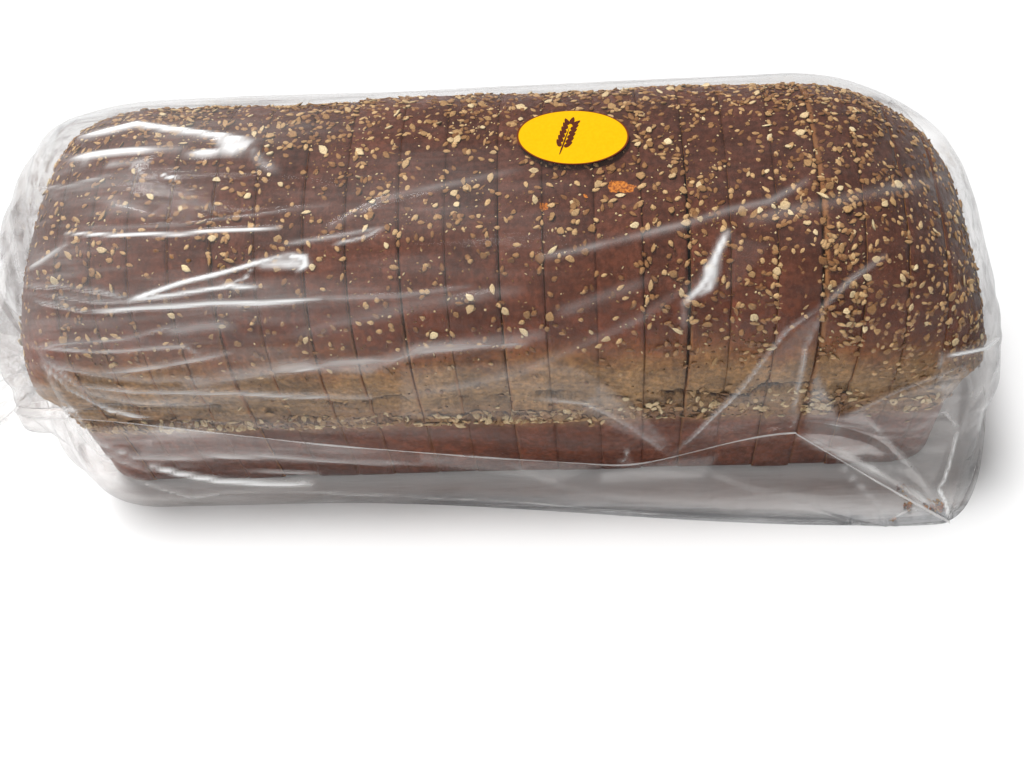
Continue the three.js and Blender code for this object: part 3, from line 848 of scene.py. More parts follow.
def section_points(x):
    """One section of the film round the loaf as (y, z), with each point's heading."""
    base, skirt, up_wall, front, rear, back = (
        np.arange(count) / count
        for count in (BASE_LINES, SKIRT_LINES, WALL_LINES, FRONT_LINES, REAR_LINES, BACK_LINES)
    )
    fin = FIN_OUT * np.clip(1 - up_wall / FIN_SHARE, 0, 1) ** 0.7
    wall = lerp(WELD_OUT - FIN_OUT, CROWN_HALF, up_wall) + fin
    stretches = [
        (lerp(BASE_START, -skirt_reach(x), base), 0 * base),
        (-lerp(skirt_reach(x), WELD_OUT, skirt**0.55), weld_height(x) * skirt**1.5),
        (-wall, lerp(weld_height(x), CROWN_START, up_wall)),
        crown_point(math.pi - front * math.pi / 2),
        crown_point((1 - rear) * math.pi / 2),
        (lerp(CROWN_HALF, BACK_FOOT, back), CROWN_START * (1 - back)),
        (lerp(BACK_FOOT, BASE_START, base), 0 * base),
    ]
    reach, level = (np.concatenate(parts) for parts in zip(*stretches))
    heading = np.arctan2(level - FALL_FROM, reach)
    pinch = 1 - CLOSED_PINCH * smooth(x, 120, CLOSED_END_X) * smooth(level, 50, 110)
    fall = fall_share(x, CLOSED_FALL if x > 0 else TIED_FALL)
    z = np.where(level < FALL_FROM, level, lerp(FALL_FROM, level, fall))
    share = np.arange(len(z)) / len(z)
    climb = (x + 200) / 380
    wave = np.sin(2 * math.pi * (FOLD_COUNT * share + 1.6 * climb + 0.35 * math.sin(4 * climb)))
    away = smooth(abs(x - LABEL_CENTRE[0]), 22, 60)
    push = FOLD_DEPTH * wave * smooth(z, 4, 26) * lerp(1, away, smooth(z, 120, 134))
    return reach * pinch + push * np.cos(heading), z + push * np.sin(heading), heading


def neck_point(heading):
    radius = NECK_RADIUS + PLEAT_DEPTH * np.sin(PLEATS * heading) + 0.8 * np.sin(23 * heading)
    return NECK[1] + radius * np.cos(heading), NECK[2] + radius * np.sin(heading)


def turned(flat, angle):
    """Points (n, 2) turned about the origin."""
    cos, sin = math.cos(angle), math.sin(angle)
    return flat @ np.array([[cos, sin], [-sin, cos]])


def mouth_point(heading):
    up = MOUTH_HALF_THICKNESS * np.sin(heading)
    up = up + MOUTH_WAVE * np.sin(2.3 * math.pi * np.cos(heading) + 0.6)
    flat = np.stack([MOUTH_HALF_WIDTH * np.cos(heading), up], 1)
    return (MOUTH[1:] + turned(flat, MOUTH_TILT)).T


def ring_at(x, y, z):
    return np.stack([np.full(len(y), x), y, z], 1)


def tail_ring(t):
    """The open tail, from its flat mouth at 0 to the neck at 1."""
    _, _, heading = section_points(-SIDE_END_X)
    spread = (1 - t) ** 0.8
    x = lerp(MOUTH[0], NECK[0], t)
    (neck_y, neck_z), (mouth_y, mouth_z) = neck_point(heading), mouth_point(heading)
    flutter = 1.6 * math.sin(math.pi * t) * np.sin(PLEATS * 2 * heading + 3 * t)
    z = lerp(neck_z, mouth_z, spread) - 3 * math.sin(math.pi * t) + flutter * np.abs(np.sin(heading))
    return ring_at(x, lerp(neck_y, mouth_y, spread), z)


def funnel_ring(t):
    """The funnel, from the loaf's end at 0 to the neck at 1."""
    x = lerp(FUNNEL_TURN_X, NECK[0] + NECK_LENGTH, t)
    share = rounded_share(t, FUNNEL_EXPONENT)
    y, z, heading = section_points(x)
    gathered = rounded_share(t, FRONT_GATHER_EXPONENT)
    drawn_in = lerp(share, gathered, (1 - smooth(z, 20, 80)) * smooth(-y, 0, 30))
    neck_y, neck_z = neck_point(heading)
    pleat = PLEAT_DEPTH * smooth(t, 0.2, 0.95) * share * smooth(z, 1, 12)
    wave = pleat * (np.sin(PLEATS * heading) + 0.45 * np.sin(23 * heading + 1.0))
    y = lerp(neck_y, y, drawn_in) + wave * np.cos(heading)
    return ring_at(x, y, lerp(neck_z, z, share) + wave * np.sin(heading))


def body_ring(t):
    x = lerp(FUNNEL_TURN_X, CLOSED_TURN_X, t)
    y, z, _ = section_points(x)
    return ring_at(x, y, z)


def closed_ring(t):
    """The closed end, turned in over the end face to a flat in the middle."""
    last = (1 - CLOSED_CAP**CLOSED_EXPONENT) ** (1 / CLOSED_EXPONENT)
    turn = last * math.sin(t * math.pi / 2)
    share = rounded_share(turn, CLOSED_EXPONENT)
    x = lerp(CLOSED_TURN_X, CLOSED_END_X, turn / last)
    y, z, _ = section_points(x)
    return ring_at(x, lerp(CLOSED_CENTRE[0], y, share), lerp(CLOSED_CENTRE[1], z, share))


def hull_planes(corners):
    """The outward face planes of the solid that its corners span."""
    solid = bmesh.new()
    for corner in corners:
        solid.verts.new(corner)
    bmesh.ops.convex_hull(solid, input=solid.verts)
    middle = sum((v.co for v in solid.verts), Vector()) / len(solid.verts)
    planes = []
    for face in solid.faces:
        normal = face.normal.copy()
        if normal.dot(face.verts[0].co - middle) < 0:
            normal.negate()
        planes.append((np.array(normal), normal.dot(face.verts[0].co)))
    solid.free()
    return planes


def swell_to_ear(rings, corners):
    """Pushes the film out to an ear, along rays from the middle of each section."""
    x = rings[..., 0]
    toward_end = smooth(x, CLOSED_TURN_X, CLOSED_END_X)
    middle_y, middle_z = CLOSED_CENTRE
    core = np.stack([x, middle_y * toward_end, lerp(FALL_FROM, middle_z, toward_end)], -1)
    ray = rings - core
    reach = np.linalg.norm(ray, axis=-1)
    ray = ray / np.maximum(reach, 1e-6)[..., None]
    enter, leave = np.full(reach.shape, -1e9), np.full(reach.shape, 1e9)
    for normal, offset in hull_planes(corners):
        slope = ray @ normal
        room = offset - core @ normal
        crossing = room / np.where(np.abs(slope) < 1e-9, 1e-9, slope)
        leave = np.where(slope > 0, np.minimum(leave, crossing), leave)
        enter = np.where(slope < 0, np.maximum(enter, crossing), enter)
        leave = np.where((np.abs(slope) < 1e-9) & (room < 0), -1e9, leave)
    ear_reach = np.where((enter < leave) & (leave > 0), leave, 0)
    gain = np.clip(0.5 + 0.5 * (ear_reach - reach) / EAR_SOFTNESS, 0, 1)
    new_reach = lerp(reach, ear_reach, gain) + EAR_SOFTNESS * gain * (1 - gain) * (ear_reach > 0)
    new_reach = np.where(ear_reach > 0, np.maximum(new_reach, reach), reach)
    moved = core + ray * new_reach[..., None]
    moved[..., 2] = np.maximum(moved[..., 2], 0)
    return moved


rings = [tail_ring(t) for t in np.linspace(0, 1, TAIL_RINGS)]
turns = np.linspace(0, math.pi / 2, FUNNEL_RINGS, endpoint=False)
rings += [funnel_ring(math.cos(turn)) for turn in turns]
rings += [body_ring(t) for t in np.linspace(0, 1, BODY_RINGS)]
rings += [closed_ring(t) for t in np.linspace(0, 1, CLOSED_RINGS)[1:]]
film_points = swell_to_ear(swell_to_ear(np.stack(rings), FRONT_EAR), BACK_EAR)
along_film = np.gradient(film_points, axis=0)
around_film = np.roll(film_points, -1, axis=1) - np.roll(film_points, 1, axis=1)
film_out = unit(np.cross(around_film, along_film))
crown_out = film_out[TAIL_RINGS + FUNNEL_RINGS, BASE_LINES + SKIRT_LINES + WALL_LINES + FRONT_LINES]
if crown_out[2] < 0:
    film_out = -film_out


# Creases in the film, as they run in the picture: points in pixels, width in pixels, height of the ridge
# in millimetres, and how milky the crease is drawn, from 0 to 1: stressed film, and at the brightest a
# painted highlight where the crease catches the light.
CREASES = [
    ([(80, 139), (136, 124), (190, 132), (252, 142)], 2.4, 1.2, 0.95),
    ([(58, 160), (124, 151), (180, 151), (238, 156)], 1.8, 0.9, 0.90),
    ([(74, 161), (112, 165), (150, 162)], 1.2, 0.5, 0.40),
    ([(132, 167), (140, 170)], 1.4, 0.3, 0.60),
    ([(161, 175), (176, 179)], 1.3, 0.3, 0.85),
    ([(250, 148), (262, 164), (275, 170)], 4.5, 0.8, 0.34),
    ([(34, 189), (68, 187), (110, 176)], 1.6, 0.8, 0.40),
    ([(108, 203), (130, 208), (150, 215)], 6.0, 0.5, 0.26),
    ([(60, 226), (120, 227), (180, 225), (260, 214), (330, 205)], 1.5, 0.5, 0.18),
    ([(67, 233), (120, 235), (180, 234), (222, 231), (280, 228)], 1.5, 0.8, 0.90),
    ([(28, 270), (46, 259), (63, 247)], 2.4, 0.8, 0.48),
    ([(67, 233), (68, 243), (60, 250)], 1.2, 0.4, 0.40),
    ([(24, 287), (60, 286), (100, 290), (129, 299)], 1.8, 0.9, 0.42),
    ([(28, 294), (60, 297), (95, 300), (129, 300)], 1.4, 0.6, 0.30),
    ([(36, 301), (60, 306), (80, 310), (92, 311)], 1.8, 0.8, 0.42),
    ([(129, 300), (180, 284), (240, 268), (288, 254)], 2.0, 1.2, 0.92),
    ([(288, 255), (304, 257), (306, 264), (298, 269)], 2.6, 0.7, 0.92),
    ([(129, 300), (172, 295), (230, 286), (256, 288)], 1.9, 0.8, 0.80),
    ([(228, 284), (246, 278), (251, 268)], 1.2, 0.4, 0.62),
    ([(92, 311), (160, 307), (212, 303), (262, 303), (320, 299)], 1.8, 0.9, 0.80),
    ([(320, 299), (400, 296), (470, 286)], 2.4, 0.5, 0.22),
    ([(286, 244), (340, 236), (382, 228)], 2.0, 0.6, 0.40),
    ([(336, 244), (362, 238), (384, 228)], 1.6, 0.5, 0.55),
    ([(32, 347), (90, 351), (133, 350), (186, 346), (199, 354)], 1.8, 0.6, 0.42),
    ([(168, 331), (200, 326), (232, 326)], 5.5, 0.3, 0.36),
    ([(187, 383), (243, 374), (304, 364), (370, 367), (420, 349), (540, 335)], 6.0, 1.0, 0.36),
    ([(286, 371), (330, 362), (392, 360), (420, 350)], 3.0, 0.4, 0.55),
    ([(412, 352), (470, 345), (528, 343)], 3.6, 0.4, 0.46),
    ([(300, 330), (420, 305), (520, 290)], 6.0, 0.7, 0.15),
    ([(330, 228), (380, 200), (470, 180), (560, 160)], 3.2, 0.6, 0.17),
    ([(540, 258), (590, 248), (640, 236), (680, 226), (730, 210), (770, 202), (806, 181)], 3.6, 0.8, 0.30),
    ([(750, 221), (800, 209), (860, 196), (940, 180)], 6.0, 0.7, 0.15),
    ([(410, 395), (520, 372), (640, 318), (700, 280)], 4.5, 0.7, 0.14),
    ([(560, 312), (610, 294), (648, 281)], 5.5, 0.5, 0.16),
    ([(726, 233), (717, 252), (709, 275), (700, 288), (685, 303)], 3.6, 0.9, 0.80),
    ([(686, 304), (684, 326)], 4.0, 0.4, 0.22),
    ([(672, 456), (700, 428), (740, 390), (786, 330), (818, 309)], 1.8, 1.2, 0.46),
    ([(818, 309), (826, 304), (850, 280), (885, 256)], 2.6, 0.8, 0.40),
    ([(794, 428), (795, 396), (806, 345), (822, 312)], 1.8, 1.0, 0.40),
    ([(672, 456), (630, 425), (585, 402), (540, 398)], 2.4, 0.9, 0.32),
    ([(555, 361), (590, 376), (640, 412), (668, 448)], 2.0, 0.5, 0.14),
    ([(625, 447), (630, 463), (618, 460)], 1.4, 0.6, 0.50),
    ([(840, 418), (860, 409), (900, 390), (940, 375), (962, 366)], 1.5, 0.7, 0.30),
    ([(962, 364), (970, 380), (972, 400)], 2.0, 0.4, 0.30),
    ([(942, 408), (950, 418), (958, 427)], 1.6, 0.5, 0.42),
    ([(904, 436), (924, 424), (944, 410), (962, 396)], 3.0, 0.3, 0.16),
    ([(940, 352), (942, 385), (944, 410)], 1.8, 0.5, 0.34),
    ([(957, 431), (950, 460), (944, 480), (938, 489)], 1.5, 0.6, 0.80),
    ([(938, 489), (944, 500), (949, 518)], 1.8, 0.5, 0.90),
    ([(949, 355), (986, 348), (997, 338)], 1.5, 0.7, 0.85),
    ([(998, 300), (1000, 335), (997, 366), (987, 386), (976, 440), (966, 470)], 1.8, 0.5, 0.30),
    ([(985, 384), (966, 412), (960, 440)], 2.4, 0.4, 0.22),
    ([(861, 411), (878, 430), (900, 452), (922, 480), (940, 505)], 3.2, 0.6, 0.26),
    ([(800, 436), (835, 450), (870, 466), (905, 487), (940, 510)], 4.2, 0.5, 0.42),
    ([(838, 462), (862, 488), (890, 518)], 1.6, 0.7, 0.34),
    ([(800, 440), (850, 456), (890, 465), (918, 472)], 1.6, 0.5, 0.26),
    ([(890, 519), (912, 508), (934, 514)], 1.6, 0.5, 0.40),
    ([(38, 350), (60, 366), (100, 372), (160, 366), (230, 352)], 2.4, 1.1, 0.46),
    ([(44, 358), (90, 372), (150, 380), (230, 376), (300, 366)], 3.4, 0.7, 0.28),
    ([(50, 368), (90, 392), (140, 402), (210, 404)], 3.0, 0.7, 0.30),
    ([(42, 356), (80, 384), (135, 391), (235, 392), (310, 396), (370, 397)], 1.9, 1.1, 0.50),
    ([(40, 345), (80, 342), (140, 336), (190, 322)], 1.7, 0.8, 0.30),
    ([(42, 360), (70, 388), (110, 409), (150, 419)], 2.0, 1.2, 0.55),
    ([(44, 364), (66, 402), (97, 441), (135, 457), (172, 457), (235, 455), (310, 459), (420, 464)],
     1.9, 1.0, 0.46),
    ([(48, 372), (70, 420), (100, 452), (150, 470)], 2.2, 1.2, 0.45),
    ([(150, 466), (180, 474), (222, 481), (262, 483), (312, 484)], 2.3, 0.6, 0.98),
    ([(180, 467), (235, 469), (280, 471), (319, 473)], 1.2, 0.4, 0.42),
    ([(296, 479), (311, 483)], 1.4, 0.3, 0.75),
    ([(90, 440), (120, 472), (160, 488), (192, 497), (235, 491), (285, 490), (420, 496)], 1.5, 0.8, 0.42),
    ([(400, 497), (489, 500), (542, 504), (622, 511), (689, 518), (780, 524)], 1.4, 0.5, 0.40),
    ([(511, 464), (560, 486), (620, 500), (700, 507)], 3.0, 0.7, 0.16),
    ([(700, 470), (760, 490), (830, 500)], 3.0, 0.6, 0.18),
    ([(720, 500), (790, 496), (850, 520)], 2.4, 0.5, 0.18),
]
# creases milkier than this are drawn as even bright lines: painted highlights
GLINT_CREASE, HIGHEST_RIDGE = 0.75, 2.2  # milkier than this a crease has an even, bright line


# Where a second layer, slack or crumpled film lies over the loaf: a convex outline in pixels, the haze it
# adds, and how milky it is, which in the brightest small outlines is a painted glint.
PANELS = [
    ([(214, 138), (252, 141), (247, 150), (236, 156), (220, 154)], 0.10, 0.80),
    ([(250, 262), (290, 254), (306, 258), (300, 268), (262, 268)], 0.10, 0.75),
    ([(226, 283), (256, 287), (236, 291)], 0.10, 0.60),
    ([(722, 240), (718, 275), (712, 290), (700, 296), (704, 268)], 0.10, 0.88),
    ([(734, 236), (768, 246), (740, 286), (724, 290)], 0.08, 0.0),
    ([(137, 458), (156, 423), (260, 438), (262, 458)], 0.08, 0.02),
    ([(262, 458), (260, 438), (420, 453), (420, 464)], 0.09, 0.02),
    ([(420, 464), (420, 453), (520, 460), (600, 466), (556, 482)], 0.22, 0.05),
    ([(600, 466), (672, 460), (720, 452), (700, 480), (600, 484)], 0.20, 0.05),
    ([(400, 368), (555, 361), (600, 385), (632, 412), (560, 420), (400, 418)], 0.09, 0.03),
    ([(600, 385), (668, 440), (676, 452), (620, 432), (580, 408)], 0.12, 0.05),
    ([(672, 458), (740, 385), (818, 309), (794, 431)], 0.09, 0.03),
    ([(804, 428), (814, 380), (826, 366), (836, 380), (840, 420), (850, 440)], 0.22, 0.12),
    ([(795, 433), (860, 409), (962, 366), (972, 400), (957, 432), (949, 518)], 0.20, 0.06),
    ([(840, 418), (862, 412), (922, 480), (949, 518), (800, 436)], 0.16, 0.12),
    ([(940, 352), (1000, 338), (996, 370), (966, 412), (944, 412)], 0.12, 0.04),
    ([(24, 240), (60, 252), (128, 299), (92, 311), (30, 330)], 0.07, 0.0),
]


def panel_share(spots, outline):
    """1 inside a convex outline in the picture, 0 outside it, with a soft edge."""
    outline = np.array(outline, float)
    middle = outline.mean(0)
    inside = np.full(len(spots), 1e9)
    for begin, finish in zip(outline, np.roll(outline, -1, 0)):
        normal = np.array([finish[1] - begin[1], begin[0] - finish[0]])
        normal /= np.linalg.norm(normal)
        if (middle - begin) @ normal < 0:
            normal = -normal
        inside = np.minimum(inside, (spots - begin) @ normal)
    return smooth(inside, -3.5, 4)


def crease_profile(spots, line, width):
    """How strongly each spot of the picture lies on a crease, which fades at its ends."""
    line = np.array(line, float)
    lengths = np.linalg.norm(np.diff(line, axis=0), axis=1)
    starts = np.concatenate([[0], np.cumsum(lengths)[:-1]])
    nearest, along = np.full(len(spots), 1e9), np.zeros(len(spots))
    for begin, finish, length, start in zip(line[:-1], line[1:], lengths, starts):
        direction = (finish - begin) / length
        t = np.clip((spots - begin) @ direction, 0, length)
        gap = np.linalg.norm(spots - begin - t[:, None] * direction, axis=1)
        closer = gap < nearest
        nearest = np.where(closer, gap, nearest)
        along = np.where(closer, start + t, along)
    total = lengths.sum()
    fade = band(along / total, -0.05, 0.14, 0.82, 1.05)
    return bell(nearest, 0, width) * (0.35 + 0.65 * fade)


flat_points = film_points.reshape(-1, 3)
flat_out = film_out.reshape(-1, 3)
spots = pixels_of(flat_points)
seen = smooth(flat_out @ VIEW_BACK, -0.05, 0.12)
spots += 0.9 * wander(flat_points, 14, 41)
ridge = np.zeros(len(flat_points))
milk = np.zeros(len(flat_points))
unsteady = grain(flat_points, 7, 43)
for line, width, height, milkiness_and_glint in CREASES:
    near = crease_profile(spots, line, width) * seen
    ridge += height * near
    bright, broken = (1.35, 0.14) if milkiness_and_glint > GLINT_CREASE else (1.0, 0.35)
    # milk: stressed film, and painted highlight along the brightest creases
    milk = np.maximum(milk, np.clip(milkiness_and_glint * near * (0.85 + broken * unsteady) * bright, 0, 1))
ripples = 0.17 * grain(flat_points * [0.22, 1, 1], 7.0, 44)
ripples += 0.06 * grain(flat_points * [0.35, 1, 1], 3.2, 45)
calm = smooth(np.linalg.norm(flat_points[:, :2] - LABEL_CENTRE, axis=1), 20, 34)
calm = np.maximum(calm, flat_points[:, 2] < 110)
off_table = smooth(flat_points[:, 2], 1.0, 8.0)
relief = (np.minimum(ridge, HIGHEST_RIDGE) + ripples) * calm * off_table
flat_points = flat_points + flat_out * relief[:, None]
flat_points[:, 2] = np.maximum(flat_points[:, 2], 0.0)

# How the film looks at each point: haze where it is slack, doubled or drawn together, milk where it is
# stressed to a white line, with painted highlights on the brightest creases and spots, painted grey where
# it is seen at a glance and mirrors the room, and painted shadow on the skirt's rim.
x, y, z = flat_points.T
from_neck = flat_points - NECK
heading = np.arctan2(from_neck[:, 2], from_neck[:, 1])
far = np.linalg.norm(from_neck, axis=1)
drawn = grain(np.stack([heading * 5, 0.012 * far, 0 * far], 1), 1.0, 46)
drawn += 0.5 * grain(np.stack([heading * 13, 0.02 * far, 0 * far], 1), 1.0, 52)
drawn = np.clip(1 + 1.1 * drawn * smooth(-x, -60, 60), 0.15, 2.4)
taut = 1 - 0.55 * band(z, 84, 94, 106, 114) * (1 - smooth(-x, 50, 90))
haze = 0.028 + 0.065 * smooth(-x, 0, 80) * drawn * taut
haze += 0.13 * smooth(-x, 70, 150) * smooth(z, 30, 80) * drawn
haze += 0.12 * smooth(-x, -50, 40) * smooth(-y, -6, 22) * smooth(z, 114, 125) * drawn
haze += 0.06 * smooth(-x, 0, 60) * band(z, 42, 52, 60, 68) * smooth(-y, 40, 50)
haze += 0.24 * smooth(-x, 168, 192) + (0.12 + 0.45 * smooth(z, 20, 52)) * smooth(x, 169, 183)
haze += 0.10 * smooth(y, 50, 60) * smooth(z, 20, 70) + 0.40 * (1 - smooth(z, 2, 14)) * smooth(-y, 52, 60)
haze += 0.16 * grain(flat_points * [0.16, 1, 1], 9, 46) * (1 - smooth(z, 6, 30)) * smooth(-y, 52, 60)
haze += 0.14 * smooth(-y - skirt_reach(x), -8, -2) * (1 - smooth(z, 3, 10))
haze += 0.02 * grain(flat_points * [0.3, 1, 1], 18, 46)
crown_back = smooth(y, 34, 52) * smooth(z, 84, 108)
haze = np.maximum(haze, 0.50 * crown_back)
for outline, extra, milkiness_and_glint in PANELS:
    inside = panel_share(spots, outline) * seen
    haze += extra * inside
    # the brightest panels are painted glints
    milk = np.maximum(milk, milkiness_and_glint * inside * (0.8 + 0.3 * grain(flat_points, 2.5, 47)))
ray = np.stack([heading * 9, 0.02 * far, 0 * heading], 1)
pleats = np.clip(grain(ray, 1.0, 48), 0, 1) ** 1.5
pleats += 0.6 * np.clip(grain(ray * [2.6, 1, 1], 1.0, 49), 0, 1) ** 2
milk = np.maximum(milk, 0.42 * pleats * smooth(-x, 158, 190))
# painted shadow: the outer rim of the skirt is greyed for the loaf's shadow on the table under it
skirt_rim_shadow = smooth(-y - skirt_reach(x), -9, -2) * (1 - smooth(z, 4, 16)) * smooth(x, -110, -30)
# dim: painted reflection of the darker room at the back of the crown and the right end, and painted shadow
# on the skirt's rim
dim = np.maximum(np.maximum(crown_back, 0.7 * smooth(x, 174, 184)), 0.85 * skirt_rim_shadow)

ring_count, ring_size = film_points.shape[:2]
order = np.arange(ring_count * ring_size).reshape(ring_count, ring_size)
after = np.roll(order, -1, axis=1)
corners = [order[:-1], after[:-1], after[1:], order[1:]]
film_faces = np.stack(corners, -1).reshape(-1, 4).tolist() + [order[0].tolist(), order[-1].tolist()]
film = new_piece("film", flat_points, film_faces)
attribute_of(film, "milk", np.clip(milk * calm, 0, 1))
attribute_of(film, "haze", np.clip(haze, 0.03, 0.6))
attribute_of(film, "dim", dim)
bpy.context.view_layer.objects.active = film
bpy.ops.object.select_all(action="DESELECT")
film.select_set(True)
face_outwards(film)


def film_paint(name):
    """Clear film: see-through with a glossy face, milky where it is creased, white where highlights are
    painted on, and grey where seen at a glance or where painted reflection or shadow dims it.
    """
    paint = Paint(name)
    milk = paint.attribute("milk")
    haze = paint.attribute("haze")
    streaks = paint.noise(6, 4, 0.6, (0.12, 1, 1)).step(0.42, 0.72, 0.0, 1.0)
    edge = paint.node("LayerWeight", {}, {"Blend": 0.28}, out="Facing")
    cover = haze * (0.6 + streaks * 0.6) + milk + edge**3.0 * 0.5
    wrinkle = paint.noise(5, 3, 0.5, (0.2, 1, 1)) + paint.noise(1.6, 2, 0.5, (0.25, 1, 1)) * 0.3
    # painted reflection: grey where the film is seen at a glance, and painted reflection or shadow where
    # dim is set
    grazed = edge.step(0.35, 0.85).math("MAXIMUM", paint.attribute("dim"))
    grazed = grazed * milk.step(0.15, 0.5, 1.0, 0.0)
    tint = paint.mix(grazed, (0.80, 0.775, 0.76, 1), (0.36, 0.37, 0.385, 1))
    sheen = haze.step(0.14, 0.50, 0.18, 0.66) * milk.step(0.0, 0.8, 1.0, 0.0)
    # painted highlights: the base colour goes white where milk is high
    shiny = paint.principled(
        Base_Color=paint.mix(milk.step(0.1, 0.85), tint, (1, 1, 1, 1)),
        Metallic=sheen * edge.step(0.3, 0.9, 1.0, 0.3),
        Roughness=milk.step(0.0, 0.8, 0.13, 0.30),
        Specular_IOR_Level=0.9,
        Normal=paint.bump(wrinkle, 0.30, 0.45),
    )
    clear = paint.node("BsdfTransparent")
    seen_share = cover.math("MINIMUM", 0.96)
    return paint.finish(paint.node("MixShader", {}, {0: seen_share, 1: clear, 2: shiny}))


film.data.materials.append(film_paint("clear_film"))
film.visible_shadow = False  # film this thin lets the light through
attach(film, "root")
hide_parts("bag")


# The side weld: the fine ragged edge where the film's front and back sheets are heat-sealed. It
# sags along the front, and past its highest point it runs down to the tip of the front ear.
WELD_STEPS, WELD_WIDTH, WELD_THICKNESS, TOOTH_PITCH = 900, 0.58, 0.18, 1.3
WELD_START, WELD_OFF_FILM, WELD_HAZE = -184.0, 0.3, 0.1
EAR_TIP = np.array([172.5, -79.5, 1.6])


def thicken(piece, thickness, offset=-1.0):
    """Gives a sheet its thickness, in millimetres: inwards, or outwards at an offset of 1."""
    solidify = piece.modifiers.new("thickness", "SOLIDIFY")
    solidify.thickness = thickness * MM
    solidify.offset = offset
    bpy.ops.object.modifier_apply(modifier="thickness")


strip = bpy.ops.mesh.primitive_grid_add
weld = started_from(strip, "side_weld", x_subdivisions=WELD_STEPS, y_subdivisions=2, size=1)
grid = points_of(weld)
edge_x, edge_y, edge_z = film_points[TAIL_RINGS:, BASE_LINES + SKIRT_LINES].T
travel = lerp(WELD_START, EAR_TIP[0], grid[:, 0] + 0.5)
to_tip = np.clip((travel - WELD_PEAK_X) / (EAR_TIP[0] - WELD_PEAK_X), 0, 1)
on_edge = travel < WELD_PEAK_X
free_y = lerp(-WELD_OUT, EAR_TIP[1] + WELD_OFF_FILM, to_tip) - 0.6 * np.sin(to_tip * 3.1)
line_y = np.where(on_edge, np.interp(travel, edge_x, edge_y), free_y) - WELD_OFF_FILM
line_z = np.where(on_edge, np.interp(travel, edge_x, edge_z), lerp(WELD_PEAK, EAR_TIP[2], to_tip))
tooth = np.abs((travel / TOOTH_PITCH) % 1 - 0.5) * 2
wobble = 0.5 * grain_along(travel, 5, 51)
width = (WELD_WIDTH + 0.9 * to_tip) * (0.65 + 0.35 * tooth + 0.30 * wobble)
outward = (grid[:, 1] + 0.5) * width
curl = 0.5 * np.sin(travel / 9.0)
weld_y = np.maximum(line_y - outward * 0.8, cad_low[1] / MM - 2)
weld_z = np.maximum(line_z - outward * 0.45 + curl * grid[:, 1], 0.3)
move_points(weld, np.stack([travel, weld_y, weld_z], 1))
thicken(weld, WELD_THICKNESS)
weld_x = points_of(weld)[:, 0] / MM
# the edge is plainer to see from the middle on, and most so on its way down to the tip
weld_milk = 0.26 + 0.16 * smooth(weld_x, -150, -40)
weld_milk += 0.10 * smooth(weld_x, WELD_PEAK_X - 10, WELD_PEAK_X + 30)
attribute_of(weld, "milk", weld_milk * (0.8 + 0.35 * grain_along(weld_x, 2.6, 53)))
attribute_of(weld, "haze", np.full(len(weld_x), WELD_HAZE))
weld.data.polygons.foreach_set("use_smooth", [True] * len(weld.data.polygons))
weld.data.materials.append(film_paint("welded_film"))
weld.visible_shadow = False
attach(weld, "root")


# The loose crumbs: bits of baked crust that have run down inside the film as the bag was
# handled. They lie on the film, caught in the tip of the front ear.
CRUMB_TONES = [(0.0, (0.24, 0.045, 0.018)), (0.5, (0.50, 0.20, 0.045)), (1.0, (0.66, 0.42, 0.15))]
# middle of a heap and its spread both ways, in pixels of the picture, and how many crumbs
CRUMB_SPOTS = [
    ((938, 507), (11, 6), 34), ((904, 489), (8, 4), 10),
    ((908, 504), (7, 9), 14), ((894, 519), (3, 3), 5),
]
CRUMB_LEVELS = 0.8, 2.2
CRUMB_LOW, CRUMB_HIGH = [-300, cad_low[1] / MM + 1.5, 0.5], [172, 100, 50]


def crumb_shape(points):
    """A lump of crust with a few bumps."""
    return points * (1 + 0.2 * np.sin(4 * points[:, :1] + 3 * points[:, 1:2]))


places = []
for middle, spread, count in CRUMB_SPOTS:
    for _ in range(count):
        pixel = [at + topping_random.normal(0, apart * 0.5) for at, apart in zip(middle, spread)]
        spot = place_of(pixel, topping_random.uniform(*CRUMB_LEVELS))
        places.append(np.clip(spot, CRUMB_LOW, CRUMB_HIGH))
form = seed_form(7, 4, crumb_shape)
paint = seed_paint("crust_crumbs", CRUMB_TONES, 0.8, 0.15)
out = np.tile([0.0, 0.0, 1.0], (len(places), 1))
crumbs = joined_seeds("loose_crumbs", form, np.array(places), out, (0.9, 0.65, 0.5), 0.35, 0.0, 0.8, paint)
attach(crumbs, "root")


# The label: an oval of glossy yellow paper stuck on top of the film, with a thin dark border
# and an ear of grain printed in dark brown across its middle.
LABEL_HALVES, LABEL_TURN = [20.0, 13.5], math.radians(-6)
LABEL_GAP, LABEL_THICKNESS = 0.16, 0.10
LABEL_CORNERS, LABEL_RINGS, LABEL_INSET = 128, 9, 0.1
BORDER_SHARE, BORDER_SOFTNESS = 0.968, 0.012


def crown_height(y):
    """The height of the film's crown at a place across it, near the label."""
    across = np.clip(np.abs(y) / CROWN_HALF, 0, 1)
    up = (1 - across**CROWN_EXPONENT) ** (1 / CROWN_EXPONENT)
    return CROWN_START + (FILM_TOP - CROWN_START) * up + BACK_SLACK * np.maximum(0, y / CROWN_HALF) * up


def laid_on_crown(flat, lift):
    """Points of the flat label (n, 2), in millimetres, laid on the film."""
    x, y = (LABEL_CENTRE + turned(flat, LABEL_TURN)).T
    return np.stack([x, y, crown_height(y) + lift], 1)


